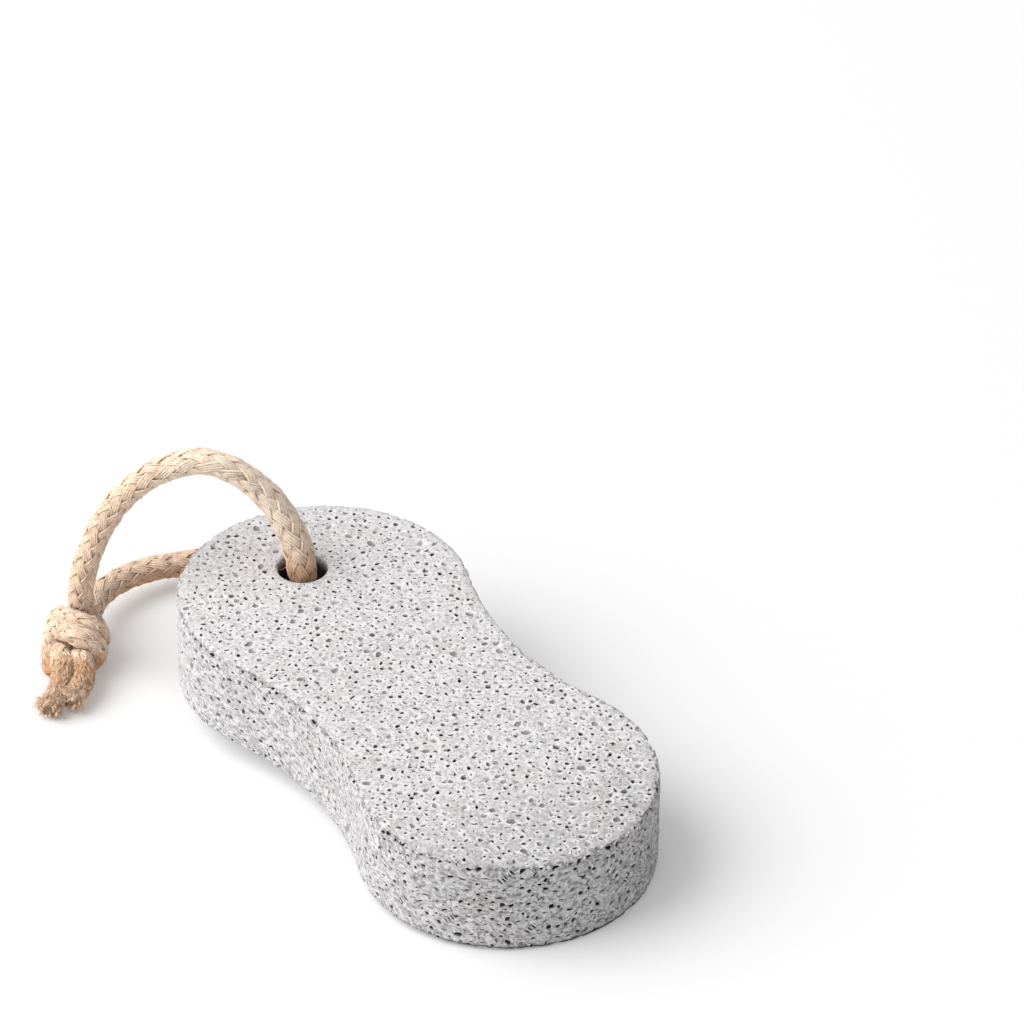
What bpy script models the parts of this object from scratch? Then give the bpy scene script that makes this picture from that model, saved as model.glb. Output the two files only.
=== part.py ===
"""Pumice foot stone: a flat slab of two round lobes joined by a narrow waist, pitted all over, with a cord
threaded through a hole in one lobe and tied in a doubled overhand knot with two short frayed tails.

The stone lies on a level surface, Z = 0. Its plain end touches the surface, and its hole end is propped by
the cord, which leaves the hole underneath, so the slab leans by LEAN about Y.
X runs along the stone, towards its plain end, and Y across it. The origin is the middle of the base of the
leaning stone's bounding box.
"""

import math
import random

import bmesh
import bpy
from mathutils import Matrix, Vector

MM = 0.001

# ---- stone ----
LENGTH = 100 * MM
HOLE_LOBE_RADIUS = 23.4 * MM
PLAIN_LOBE_RADIUS = 23.1 * MM
WAIST_HALF_WIDTH = 18.4 * MM
THICKNESS = 15.7 * MM
EDGE_RADIUS = 1.0 * MM
HOLE_RADIUS = 4.0 * MM
HOLE_FROM_END = 15.95 * MM
HOLE_ASIDE = 0.45 * MM
HOLE_RIM_RADIUS = 0.5 * MM
LEAN = math.radians(3.2)
OUTLINE_STEP = 3.0 * MM
EDGE_SEGMENTS = 2
SHARP_EDGE = math.radians(60)
HOLE_SIDES = 28
LARGEST_WAIST_RADIUS = 5000 * MM
HALVINGS = 80

# ---- pits ----
SEED = 11
TOP_PITS, BASE_PITS, SIDE_PITS = 92, 46, 62
PIT_RADIUS = (0.60 * MM, 1.15 * MM)
PIT_DEPTH_RATIO = (0.9, 1.2)
PIT_FLOOR_RATIO = 0.5
PIT_PROUD_SHARE = 0.2
PIT_SIDES = 7
PIT_CORNER_REACH = (0.80, 1.18)
PIT_SPACING = 2.9 * MM
PIT_EDGE_MARGIN = 2.6 * MM
PIT_HOLE_MARGIN = 2.4 * MM
PIT_FIELD_HALF_WIDTH = 24 * MM
PLAIN_PATCH = Vector((0.0, 0.0))
PLAIN_PATCH_RADIUS = 4.0 * MM

# ---- cord ----
CORD_DIAMETER = 4.2 * MM
CORD_STEP = 1.0 * CORD_DIAMETER
CORD_GAP = 0.3 * MM
CORD_RESOLUTION = 3
WELD_DISTANCE = 0.01 * MM

# Route of the loop, in millimetres, from the knot up over the arch, down through the hole, out under the
# far lobe and back along the surface to the knot.
LOOP_ROUTE = (
    (-59.7, -26.1, 9.5),
    (-59.3, -26.2, 11.1),
    (-58.2, -26.3, 14.4),
    (-57.0, -25.9, 18.4),
    (-55.6, -24.9, 22.8),
    (-54.0, -23.6, 27.1),
    (-52.1, -21.7, 31.2),
    (-49.5, -19.1, 35.1),
    (-47.0, -16.5, 37.7),
    (-43.2, -11.7, 39.6),
    (-39.5, -7.0, 37.7),
    (-36.4, -3.1, 32.9),
    (-34.6, -0.9, 27.4),
    (-33.8, 0.2, 22.4),
    (-33.3, 0.45, 16.0),
    (-32.85, 0.45, 10.0),
    (-33.4, 0.6, 6.8),
    (-35.0, 1.0, 4.3),
    (-37.3, 1.65, 2.7),
    (-40.3, 2.4, 2.12),
    (-46.5, 4.1, 2.12),
    (-52.5, 5.6, 2.12),
    (-58.0, 6.2, 2.2),
    (-62.9, 4.8, 2.6),
    (-66.1, 1.6, 3.2),
    (-67.2, -2.6, 3.6),
    (-68.0, -6.4, 4.0),
    (-68.4, -10.5, 4.3),
    (-67.8, -14.6, 4.6),
    (-66.3, -18.4, 4.8),
    (-64.2, -21.4, 4.9),
    (-61.6, -23.7, 4.8),
)

# The doubled overhand knot. KNOT_AXIS points from the loop to the tails, KNOT_SIDE across.
KNOT_CENTRE = Vector((-54.8, -30.2, 4.6)) * MM
KNOT_AXIS = Vector((0.786, -0.597, -0.176)).normalized()
KNOT_SIDE = Vector((0.605, 0.796, 0.0)).normalized()
STRAND_GAP_HALF = 1.6 * MM
STRAND_LEAD_IN = 1.2 * MM

# Each row: the middle of the doubled strand (side, towards the loop, up) in millimetres, the direction in
# which its first strand is shifted, and the strand's radius there in millimetres.
KNOT_GUIDE = (
    ((0.6, 5.2, -0.5), (-1.2, 0.0, 0.3), 1.90),
    ((0.3, 2.2, -1.0), (-1.0, 0.0, 0.2), 1.75),
    ((-0.9, -0.6, -1.3), (-0.8, -0.5, 0.0), 1.70),
    ((-2.5, -1.4, -2.0), (-0.4, -0.9, -0.1), 1.70),
    ((-3.5, 0.0, -1.9), (-0.1, -1.0, 0.1), 1.70),
    ((-3.9, 2.6, -0.2), (0.0, -1.0, 0.1), 1.70),
    ((-3.2, 3.7, 1.7), (0.1, -1.0, 0.2), 1.75),
    ((-1.4, 2.5, 2.7), (0.2, -1.0, 0.1), 1.80),
    ((0.9, 1.2, 2.9), (0.1, -1.0, 0.1), 1.80),
    ((2.7, 1.2, 1.8), (0.0, -1.0, 0.0), 1.80),
    ((3.6, 1.4, -0.2), (0.0, -1.0, 0.0), 1.75),
    ((2.6, 1.2, -2.2), (0.0, -1.0, 0.0), 1.70),
    ((0.2, 0.8, -2.9), (0.1, -1.0, 0.0), 1.70),
    ((-1.2, -0.4, -1.4), (0.6, -0.8, 0.0), 1.75),
    ((-0.2, -2.8, 0.4), (1.05, -0.2, 0.0), 1.80),
    ((0.5, -5.6, 0.1), (1.02, 0.0, -0.1), 1.85),
    ((0.2, -9.0, -0.3), (1.0, 0.2, 0.0), 1.85),
    ((-1.1, -12.5, -0.4), (0.95, 0.6, 0.0), 1.80),
)
KNOT_TUBE_STEP = 1.5 * MM

PUMICE_GREY = (0.60, 0.60, 0.61, 1.0)
JUTE_TAN = (0.66, 0.49, 0.32, 1.0)


def start_scene():
    """Empty the file and make one collection for the object and one for its cutters."""
    for old in list(bpy.data.objects):
        bpy.data.objects.remove(old, do_unlink=True)
    groups = {}
    for name in ("pumice_stone_set", "cutters"):
        groups[name] = bpy.data.collections.new(name)
        bpy.context.scene.collection.children.link(groups[name])
    return groups["pumice_stone_set"], groups["cutters"]


def plain_material(name, colour, roughness):
    material = bpy.data.materials.new(name)
    material.use_nodes = True
    surface = material.node_tree.nodes["Principled BSDF"]
    surface.inputs["Base Color"].default_value = colour
    surface.inputs["Roughness"].default_value = roughness
    surface.inputs["Metallic"].default_value = 0.0
    return material


def add_object(name, data, collection, material=None):
    thing = bpy.data.objects.new(name, data)
    collection.objects.link(thing)
    if material is not None:
        thing.data.materials.append(material)
    return thing


def hide_as_cutter(thing):
    thing.hide_render = True
    thing.display_type = "WIRE"


# ---- outline of the stone ----


def lobe_centres():
    """Centres of the hole lobe and the plain lobe on X, the middle of the two at X = 0."""
    span = LENGTH - HOLE_LOBE_RADIUS - PLAIN_LOBE_RADIUS
    return Vector((-span / 2, 0.0)), Vector((span / 2, 0.0))


def waist_circle():
    """Centre and radius of the arc that touches both lobes and leaves the waist its width."""
    hole_lobe, _ = lobe_centres()
    low, high = 1 * MM, LARGEST_WAIST_RADIUS
    for _ in range(HALVINGS):
        radius = (low + high) / 2
        if (waist_centre(radius) - hole_lobe).length > HOLE_LOBE_RADIUS + radius:
            low = radius
        else:
            high = radius
    return waist_centre(radius), radius


def waist_centre(radius):
    hole_lobe, plain_lobe = lobe_centres()
    span = plain_lobe.x - hole_lobe.x
    difference = HOLE_LOBE_RADIUS - PLAIN_LOBE_RADIUS
    total = HOLE_LOBE_RADIUS + PLAIN_LOBE_RADIUS + 2 * radius
    return Vector((difference * total / (2 * span), WAIST_HALF_WIDTH + radius))


def arc(centre, radius, start, end):
    """Points along an arc, its start included and its end left out."""
    count = max(3, round(abs(end - start) * radius / OUTLINE_STEP))
    angles = (start + (end - start) * i / count for i in range(count))
    return [centre + radius * Vector((math.cos(a), math.sin(a))) for a in angles]


def stone_outline():
    """The closed outline, anticlockwise, as four arcs that meet smoothly."""
    hole_lobe, plain_lobe = lobe_centres()
    upper, radius = waist_circle()
    lower = Vector((upper.x, -upper.y))
    to_hole, to_plain = upper - hole_lobe, upper - plain_lobe
    hole_angle = math.atan2(to_hole.y, to_hole.x)
    plain_angle = math.atan2(to_plain.y, to_plain.x)
    points = arc(plain_lobe, PLAIN_LOBE_RADIUS, -plain_angle, plain_angle)
    points += arc(upper, radius, plain_angle - math.pi, hole_angle - math.pi)
    points += arc(hole_lobe, HOLE_LOBE_RADIUS, hole_angle, 2 * math.pi - hole_angle)
    points += arc(lower, radius, math.pi - hole_angle, math.pi - plain_angle)
    return points


def stone_matrix():
    """Leans the slab about Y, rests it on Z = 0 and centres its bounding box."""
    hole_lobe, plain_lobe = lobe_centres()
    core_top = THICKNESS - EDGE_RADIUS
    front = plain_lobe.x + PLAIN_LOBE_RADIUS - EDGE_RADIUS
    back = hole_lobe.x - HOLE_LOBE_RADIUS + EDGE_RADIUS
    sine, cosine = math.sin(LEAN), math.cos(LEAN)
    highest_x = front * cosine + core_top * sine + EDGE_RADIUS
    lowest_x = back * cosine + EDGE_RADIUS * sine - EDGE_RADIUS
    lowest_z = EDGE_RADIUS * cosine - front * sine - EDGE_RADIUS
    place = Matrix.Translation((-(highest_x + lowest_x) / 2, 0.0, -lowest_z))
    return place @ Matrix.Rotation(LEAN, 4, "Y")


def hole_place():
    return Vector((lobe_centres()[0].x - HOLE_LOBE_RADIUS + HOLE_FROM_END, HOLE_ASIDE))


# ---- pits ----


def outline_distance(point, outline):
    """How far inside the outline a point lies. Negative outside."""
    nearest = min(
        (point - closest_on_segment(point, a, b)).length for a, b in zip(outline, outline[1:] + outline[:1])
    )
    return nearest if is_inside(point, outline) else -nearest


def closest_on_segment(point, a, b):
    along = b - a
    share = max(0.0, min(1.0, (point - a).dot(along) / along.length_squared))
    return a + along * share


def is_inside(point, outline):
    inside = False
    for a, b in zip(outline, outline[1:] + outline[:1]):
        if (a.y > point.y) != (b.y > point.y):
            if point.x < a.x + (point.y - a.y) * (b.x - a.x) / (b.y - a.y):
                inside = not inside
    return inside


def flat_pit_places(count, outline, chance):
    """Scattered places on a flat face, clear of its edge, the hole, the middle patch and each other."""
    places = []
    while len(places) < count:
        x = chance.uniform(-LENGTH / 2, LENGTH / 2)
        point = Vector((x, chance.uniform(-PIT_FIELD_HALF_WIDTH, PIT_FIELD_HALF_WIDTH)))
        clear_of_hole = (point - hole_place()).length > HOLE_RADIUS + PIT_HOLE_MARGIN
        clear_of_patch = (point - PLAIN_PATCH).length > PLAIN_PATCH_RADIUS
        clear_of_pits = all((point - other).length > PIT_SPACING for other in places)
        if clear_of_hole and clear_of_patch and clear_of_pits:
            if outline_distance(point, outline) > PIT_EDGE_MARGIN:
                places.append(point)
    return places


def side_pit_places(count, outline, chance):
    """Scattered places round the side wall, each with the wall's outward direction."""
    ring = outline + outline[:1]
    lengths = [(b - a).length for a, b in zip(ring, ring[1:])]
    places = []
    while len(places) < count:
        left = chance.uniform(0, sum(lengths))
        height = chance.uniform(PIT_EDGE_MARGIN, THICKNESS - PIT_EDGE_MARGIN)
        index = 0
        while left > lengths[index]:
            left -= lengths[index]
            index += 1
        along = (ring[index + 1] - ring[index]).normalized()
        spot = (ring[index] + along * left).to_3d() + Vector((0, 0, height))
        if all((spot - other).length > PIT_SPACING for other, _ in places):
            places.append((spot, Vector((along.y, -along.x, 0.0))))
    return places


def add_pit_cutter(mesh, spot, outward, chance):
    """One rough bowl with a flat floor, its wide mouth a little proud of the surface."""
    radius = chance.uniform(*PIT_RADIUS)
    depth = radius * chance.uniform(*PIT_DEPTH_RATIO)
    bowl = bmesh.ops.create_cone(
        mesh,
        cap_ends=True,
        segments=PIT_SIDES,
        radius1=radius * PIT_FLOOR_RATIO,
        radius2=radius,
        depth=depth,
    )["verts"]
    corner_reach = [chance.uniform(*PIT_CORNER_REACH) for _ in range(PIT_SIDES)]
    for vertex in bowl:
        turn = math.atan2(vertex.co.y, vertex.co.x) / (2 * math.pi)
        vertex.co.xy *= corner_reach[round(turn * PIT_SIDES) % PIT_SIDES]
    stretch = Matrix.Diagonal((1.0, chance.uniform(0.62, 1.0), 1.0, 1.0))
    spin = Matrix.Rotation(chance.uniform(0, 2 * math.pi), 4, "Z")
    face_out = outward.to_track_quat("Z", "Y").to_matrix().to_4x4()
    sink = Matrix.Translation(spot - outward * depth * (0.5 - PIT_PROUD_SHARE))
    bmesh.ops.transform(mesh, matrix=sink @ face_out @ spin @ stretch, verts=bowl)


def make_pit_cutters(outline, collection):
    chance = random.Random(SEED)
    mesh = bmesh.new()
    for point in flat_pit_places(TOP_PITS, outline, chance):
        add_pit_cutter(mesh, point.to_3d() + Vector((0, 0, THICKNESS)), Vector((0, 0, 1)), chance)
    for point in flat_pit_places(BASE_PITS, outline, chance):
        add_pit_cutter(mesh, point.to_3d(), Vector((0, 0, -1)), chance)
    for spot, outward in side_pit_places(SIDE_PITS, outline, chance):
        add_pit_cutter(mesh, spot, outward, chance)
    data = bpy.data.meshes.new("pit_cutters")
    mesh.to_mesh(data)
    mesh.free()
    cutters = add_object("pit_cutters", data, collection)
    hide_as_cutter(cutters)
    return cutters


def make_hole_cutter(collection):
    """A turned plug, as wide as the hole and flared at both rims."""
    rim = HOLE_RIM_RADIUS
    half_way = rim * (1 - math.sqrt(0.5))
    lower_edge = (
        (HOLE_RADIUS + rim, 0.0),
        (HOLE_RADIUS + half_way, half_way),
        (HOLE_RADIUS, rim),
    )
    upper_edge = [(r, THICKNESS - z) for r, z in reversed(lower_edge)]
    over = 1 * MM
    profile = [(0.0, -over), (HOLE_RADIUS + rim, -over), *lower_edge, *upper_edge]
    profile += [(HOLE_RADIUS + rim, THICKNESS + over), (0.0, THICKNESS + over)]
    mesh = bmesh.new()
    corners = [mesh.verts.new((r, 0.0, z)) for r, z in reversed(profile)]
    for a, b in zip(corners, corners[1:]):
        mesh.edges.new((a, b))
    data = bpy.data.meshes.new("hole_cutter")
    mesh.to_mesh(data)
    mesh.free()
    cutter = add_object("hole_cutter", data, collection)
    cutter.location = hole_place().to_3d()
    turn = cutter.modifiers.new("turn", "SCREW")
    turn.steps = turn.render_steps = HOLE_SIDES
    turn.use_merge_vertices = True
    turn.merge_threshold = WELD_DISTANCE
    hide_as_cutter(cutter)
    return cutter


def make_stone(collection, cutter_collection):
    """The slab from its outline, its edges rounded, bored and pitted."""
    outline = stone_outline()
    curve = bpy.data.curves.new("stone_outline", "CURVE")
    curve.dimensions = "2D"
    curve.fill_mode = "BOTH"
    curve.extrude = THICKNESS / 2
    spline = curve.splines.new("POLY")
    spline.points.add(len(outline) - 1)
    for point, corner in zip(spline.points, outline):
        point.co = (corner.x, corner.y, 0.0, 1.0)
    spline.use_cyclic_u = True
    drawn = add_object("stone_outline", curve, cutter_collection)
    data = mesh_from_curve(drawn, "pumice_stone")
    data.transform(Matrix.Translation((0, 0, THICKNESS / 2)))
    stone = add_object("pumice_stone", data, collection, plain_material("pumice", PUMICE_GREY, 0.95))
    rounding = stone.modifiers.new("rounded_edges", "BEVEL")
    rounding.width = EDGE_RADIUS
    rounding.segments = EDGE_SEGMENTS
    rounding.limit_method = "ANGLE"
    rounding.angle_limit = SHARP_EDGE
    for cutter in (make_hole_cutter(cutter_collection), make_pit_cutters(outline, cutter_collection)):
        cut = stone.modifiers.new(cutter.name, "BOOLEAN")
        cut.operation = "DIFFERENCE"
        cut.solver = "EXACT"
        cut.object = cutter
        cutter.parent = stone
    stone.matrix_world = stone_matrix()
    return stone


def mesh_from_curve(drawn, name):
    """A welded mesh of a curve object, which is then removed."""
    shown = drawn.evaluated_get(bpy.context.evaluated_depsgraph_get())
    data = bpy.data.meshes.new_from_object(shown)
    data.name = name
    data.transform(drawn.matrix_world)
    weld = bmesh.new()
    weld.from_mesh(data)
    bmesh.ops.remove_doubles(weld, verts=weld.verts, dist=WELD_DISTANCE)
    weld.to_mesh(data)
    weld.free()
    bpy.data.objects.remove(drawn, do_unlink=True)
    return data


# ---- cord ----


def smooth_line(points, samples=24):
    """A smooth curve through all the points, each a vector of any size, sampled finely."""
    padded = [2 * points[0] - points[1], *points, 2 * points[-1] - points[-2]]
    line = []
    for p0, p1, p2, p3 in zip(padded, padded[1:], padded[2:], padded[3:]):
        for step in range(samples):
            t = step / samples
            line.append(
                0.5 * (2 * p1 + (p2 - p0) * t + (2 * p0 - 5 * p1 + 4 * p2 - p3) * t * t)
                + 0.5 * (3 * p1 - p0 - 3 * p2 + p3) * t * t * t
            )
    return line + [points[-1]]


def even_steps(line, step):
    """Points at even distances along a fine line, both ends kept. Distances use the first three numbers."""
    travelled = [0.0]
    for a, b in zip(line, line[1:]):
        travelled.append(travelled[-1] + (b - a).to_3d().length)
    count = max(2, round(travelled[-1] / step))
    spaced, index = [], 0
    for k in range(count + 1):
        target = travelled[-1] * k / count
        while index < len(line) - 2 and travelled[index + 1] < target:
            index += 1
        share = (target - travelled[index]) / (travelled[index + 1] - travelled[index])
        spaced.append(line[index].lerp(line[index + 1], share))
    return spaced


def tube_curve(name, points, radii, collection, material=None):
    """A round tube with capped ends, on a line of points that each have their own radius."""
    curve = bpy.data.curves.new(name, "CURVE")
    curve.dimensions = "3D"
    curve.bevel_depth = 1.0
    curve.bevel_resolution = CORD_RESOLUTION
    curve.use_fill_caps = True
    curve.twist_mode = "MINIMUM"
    spline = curve.splines.new("POLY")
    spline.points.add(len(points) - 1)
    for corner, point, radius in zip(spline.points, points, radii):
        corner.co = (*point, 1.0)
        corner.radius = radius
    return add_object(name, curve, collection, material)


def loop_line():
    return smooth_line([Vector(point) * MM for point in LOOP_ROUTE])


def make_loop(collection, material):
    """The cord from knot to knot, through the hole."""
    points = even_steps(loop_line(), CORD_STEP)
    radii = [CORD_DIAMETER / 2] * len(points)
    return tube_curve("rope_loop", points, radii, collection, material)


def knot_strand(shift, cord_end, cord_before_end):
    """One of the knot's two strands, as points with a radius, from the end of the loop it carries on."""
    toward_loop = -KNOT_AXIS
    upward = KNOT_AXIS.cross(KNOT_SIDE)
    onward = (cord_end - cord_before_end).normalized()
    starts = (CORD_GAP, CORD_GAP + STRAND_LEAD_IN)
    line = [Vector((*(cord_end + onward * start), CORD_DIAMETER / 2)) for start in starts]
    for (side, back, up), (out_side, out_back, out_up), radius in KNOT_GUIDE:
        spread = shift * STRAND_GAP_HALF
        local = Vector((side, back, up)) * MM + Vector((out_side, out_back, out_up)) * spread
        place = KNOT_CENTRE + KNOT_SIDE * local.x + toward_loop * local.y + upward * local.z
        line.append(Vector((*place, radius * MM)))
    return line


def make_knot(collection, cutter_collection, material):
    """Both strands of the knot and their tails, fused into one solid."""
    cord = loop_line()
    meshes = []
    for shift, end, before in ((1, cord[0], cord[1]), (-1, cord[-1], cord[-2])):
        line = even_steps(smooth_line(knot_strand(shift, end, before)), KNOT_TUBE_STEP)
        radii = [point.w for point in line]
        drawn = tube_curve("strand", [point.to_3d() for point in line], radii, cutter_collection)
        meshes.append(mesh_from_curve(drawn, "strand"))
    knot = add_object("rope_knot", meshes[0], collection, material)
    other = add_object("second_strand", meshes[1], cutter_collection)
    hide_as_cutter(other)
    fuse = knot.modifiers.new("fuse", "BOOLEAN")
    fuse.operation = "UNION"
    fuse.solver = "EXACT"
    fuse.use_self = True
    fuse.object = other
    return knot


def main():
    collection, cutter_collection = start_scene()
    jute = plain_material("jute", JUTE_TAN, 0.9)
    make_stone(collection, cutter_collection)
    make_loop(collection, jute)
    make_knot(collection, cutter_collection, jute)


main()
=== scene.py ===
"""Looks of the pumice foot stone: a pitted slab, and a braided cord through its hole, knotted and frayed.

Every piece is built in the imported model's own frame: metres, Z up, the stone lying on Z = 0. Shapes are
worked out in millimetres and scaled once, when their mesh is made. Run it as a script, or read it as an
add-on: the sizes and colours are properties of the scene, and each group of pieces is one operator.
"""

import math
from collections import namedtuple

import bmesh
import bpy
import numpy as np
from mathutils import Matrix, Vector, noise
from mathutils.geometry import delaunay_2d_cdt


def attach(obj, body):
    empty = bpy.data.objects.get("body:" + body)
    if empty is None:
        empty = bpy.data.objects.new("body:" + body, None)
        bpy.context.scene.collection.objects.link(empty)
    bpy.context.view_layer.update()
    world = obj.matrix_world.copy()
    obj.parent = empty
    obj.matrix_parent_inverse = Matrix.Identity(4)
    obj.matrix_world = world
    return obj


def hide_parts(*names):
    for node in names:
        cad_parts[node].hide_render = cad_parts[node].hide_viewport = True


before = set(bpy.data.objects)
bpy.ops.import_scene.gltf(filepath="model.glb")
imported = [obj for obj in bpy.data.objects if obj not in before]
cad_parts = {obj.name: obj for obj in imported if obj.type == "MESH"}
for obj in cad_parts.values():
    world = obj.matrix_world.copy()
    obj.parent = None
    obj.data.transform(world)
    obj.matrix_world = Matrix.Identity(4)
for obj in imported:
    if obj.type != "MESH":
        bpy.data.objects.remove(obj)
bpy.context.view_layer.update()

bl_info = {
    "name": "Pumice foot stone",
    "version": (1, 0, 0),
    "blender": (4, 5, 0),
    "location": "View3D > Sidebar > Foot stone",
    "description": "Builds a pitted pumice foot stone with a braided, knotted cord",
    "category": "Add Mesh",
}

MM = 0.001
BODY = "root"

# Route of the cord's loop, in millimetres, from the knot up over the arch, down through the hole, out
# under the far lobe and back along the surface to the knot.
LOOP_ROUTE = (
    (-59.7, -26.1, 9.5),
    (-59.3, -26.2, 11.1),
    (-58.2, -26.3, 14.4),
    (-57.0, -25.9, 18.4),
    (-55.6, -24.9, 22.8),
    (-54.0, -23.6, 27.1),
    (-52.1, -21.7, 31.2),
    (-49.5, -19.1, 35.1),
    (-47.0, -16.5, 37.7),
    (-43.2, -11.7, 39.6),
    (-39.5, -7.0, 37.7),
    (-36.4, -3.1, 32.9),
    (-34.6, -0.9, 27.4),
    (-33.8, 0.2, 22.4),
    (-33.3, 0.45, 16.0),
    (-32.85, 0.45, 10.0),
    (-33.4, 0.6, 6.8),
    (-35.0, 1.0, 4.3),
    (-37.3, 1.65, 2.7),
    (-40.3, 2.4, 2.12),
    (-46.5, 4.1, 2.12),
    (-52.5, 5.6, 2.12),
    (-58.0, 6.2, 2.2),
    (-62.9, 4.8, 2.6),
    (-66.1, 1.6, 3.2),
    (-67.2, -2.6, 3.6),
    (-68.0, -6.4, 4.0),
    (-68.4, -10.5, 4.3),
    (-67.8, -14.6, 4.6),
    (-66.3, -18.4, 4.8),
    (-64.2, -21.4, 4.9),
    (-61.6, -23.7, 4.8),
)

# The doubled overhand knot. KNOT_AXIS points from the loop to the tails, KNOT_SIDE across. Each row of the
# guide: the middle of the doubled strand (side, towards the loop, up) in millimetres, the direction in
# which its first strand is shifted, and the strand's radius there in millimetres.
KNOT_CENTRE = Vector((-54.8, -30.2, 4.6))
KNOT_AXIS = Vector((0.786, -0.597, -0.176)).normalized()
KNOT_SIDE = Vector((0.605, 0.796, 0.0)).normalized()
STRAND_GAP_HALF = 1.6
STRAND_STARTS = (0.3, 1.5)
KNOT_GUIDE = (
    ((0.6, 5.2, -0.5), (-1.2, 0.0, 0.3), 1.90),
    ((0.3, 2.2, -1.0), (-1.0, 0.0, 0.2), 1.75),
    ((-0.9, -0.6, -1.3), (-0.8, -0.5, 0.0), 1.70),
    ((-2.5, -1.4, -2.0), (-0.4, -0.9, -0.1), 1.70),
    ((-3.5, 0.0, -1.9), (-0.1, -1.0, 0.1), 1.70),
    ((-3.9, 2.6, -0.2), (0.0, -1.0, 0.1), 1.70),
    ((-3.2, 3.7, 1.7), (0.1, -1.0, 0.2), 1.75),
    ((-1.4, 2.5, 2.7), (0.2, -1.0, 0.1), 1.80),
    ((0.9, 1.2, 2.9), (0.1, -1.0, 0.1), 1.80),
    ((2.7, 1.2, 1.8), (0.0, -1.0, 0.0), 1.80),
    ((3.6, 1.4, -0.2), (0.0, -1.0, 0.0), 1.75),
    ((2.6, 1.2, -2.2), (0.0, -1.0, 0.0), 1.70),
    ((0.2, 0.8, -2.9), (0.1, -1.0, 0.0), 1.70),
    ((-1.2, -0.4, -1.4), (0.6, -0.8, 0.0), 1.75),
    ((-0.2, -2.8, 0.4), (1.05, -0.2, 0.0), 1.80),
    ((0.5, -5.6, 0.1), (1.02, 0.0, -0.1), 1.85),
    ((0.2, -9.0, -0.3), (1.0, 0.2, 0.0), 1.85),
    ((-1.1, -12.5, -0.4), (0.95, 0.6, 0.0), 1.80),
)


# ---- properties ----


def length_property(name, description, default_mm):
    """A length among the settings: kept in metres, given here in millimetres."""
    return bpy.props.FloatProperty(
        name=name, description=description, default=default_mm * MM,
        subtype="DISTANCE", unit="LENGTH", precision=5,
    )


def colour_property(name, description, default):
    """A colour among the settings, as linear red, green and blue."""
    return bpy.props.FloatVectorProperty(
        name=name, description=description, default=default, subtype="COLOR", size=3, min=0.0, max=1.0
    )


class StoneShape(bpy.types.PropertyGroup):
    """Sizes of the slab and its pores."""

    length: length_property("Length", "Length of the stone, end to end", 100)
    hole_lobe_radius: length_property("Hole lobe radius", "Radius of the lobe with the hole", 23.4)
    plain_lobe_radius: length_property("Plain lobe radius", "Radius of the lobe without a hole", 23.1)
    waist_half_width: length_property("Waist half width", "Half the width of the waist", 18.4)
    thickness: length_property("Thickness", "Thickness of the slab", 15.7)
    edge_radius: length_property("Edge radius", "Rounding of the long edges", 0.45)
    hole_radius: length_property("Hole radius", "Radius of the hole for the cord", 4.0)
    hole_from_end: length_property("Hole from end", "Distance of the hole's centre from its end", 15.95)
    hole_aside: length_property("Hole aside", "Distance of the hole's centre from the middle line", 0.45)
    hole_rim_radius: length_property("Hole rim radius", "Rounding of the hole's rims", 0.5)
    lean: bpy.props.FloatProperty(
        name="Lean", description="Lean of the slab on its cord", default=math.radians(3.2), subtype="ANGLE"
    )
    pore_density: bpy.props.FloatProperty(
        name="Pore density", description="Number of pores, as a multiple of the usual", default=1.0, min=0
    )
    grain_height: length_property("Grain height", "Height of the fine unevenness of the surface", 0.05)
    chip_depth: length_property("Chip depth", "Depth of the chips along the edges", 0.55)
    wall_relief: length_property("Wall relief", "Height of the saw marks and lumps of the wall", 0.17)
    seed: bpy.props.IntProperty(name="Seed", description="Picks one scatter of the pores", default=11)


class StoneFinish(bpy.types.PropertyGroup):
    """Colours of the pumice."""

    body: colour_property("Body", "Main grey of the pumice", (0.44, 0.430, 0.436))
    ground: colour_property("Ground", "Lighter grey between the patches", (0.65, 0.638, 0.646))
    pale: colour_property("Pale grains", "Nearly white grains and pore rims", (0.79, 0.78, 0.787))
    # this grey also paints the painted shade on the walls, the edges and the rough end
    shade: colour_property("Grey grains", "Mid grey grains", (0.17, 0.166, 0.169))
    # the pores' colour is painted shade: it darkens pore floors, pinholes, the bore and the line along the
    # foot
    pore: colour_property("Pores", "Dark floor of a deep pore", (0.012, 0.012, 0.013))
    warm: colour_property("Tint", "Faint warm stain in patches", (0.52, 0.49, 0.44))


class CordShape(bpy.types.PropertyGroup):
    """Sizes of the braid."""

    diameter: length_property("Diameter", "Diameter of the cord", 4.2)
    braid_lead: length_property("Lead", "Length in which one strand goes once round the cord", 29.0)
    strand_width: length_property("Strand width", "Width of one flat strand", 1.58)
    strand_thickness: length_property("Strand thickness", "Thickness of one strand", 0.74)
    crossing_height: length_property("Crossing height", "Rise and fall of a strand at crossings", 0.24)
    seed: bpy.props.IntProperty(name="Seed", description="Picks one set of stray fibres", default=5)


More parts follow.
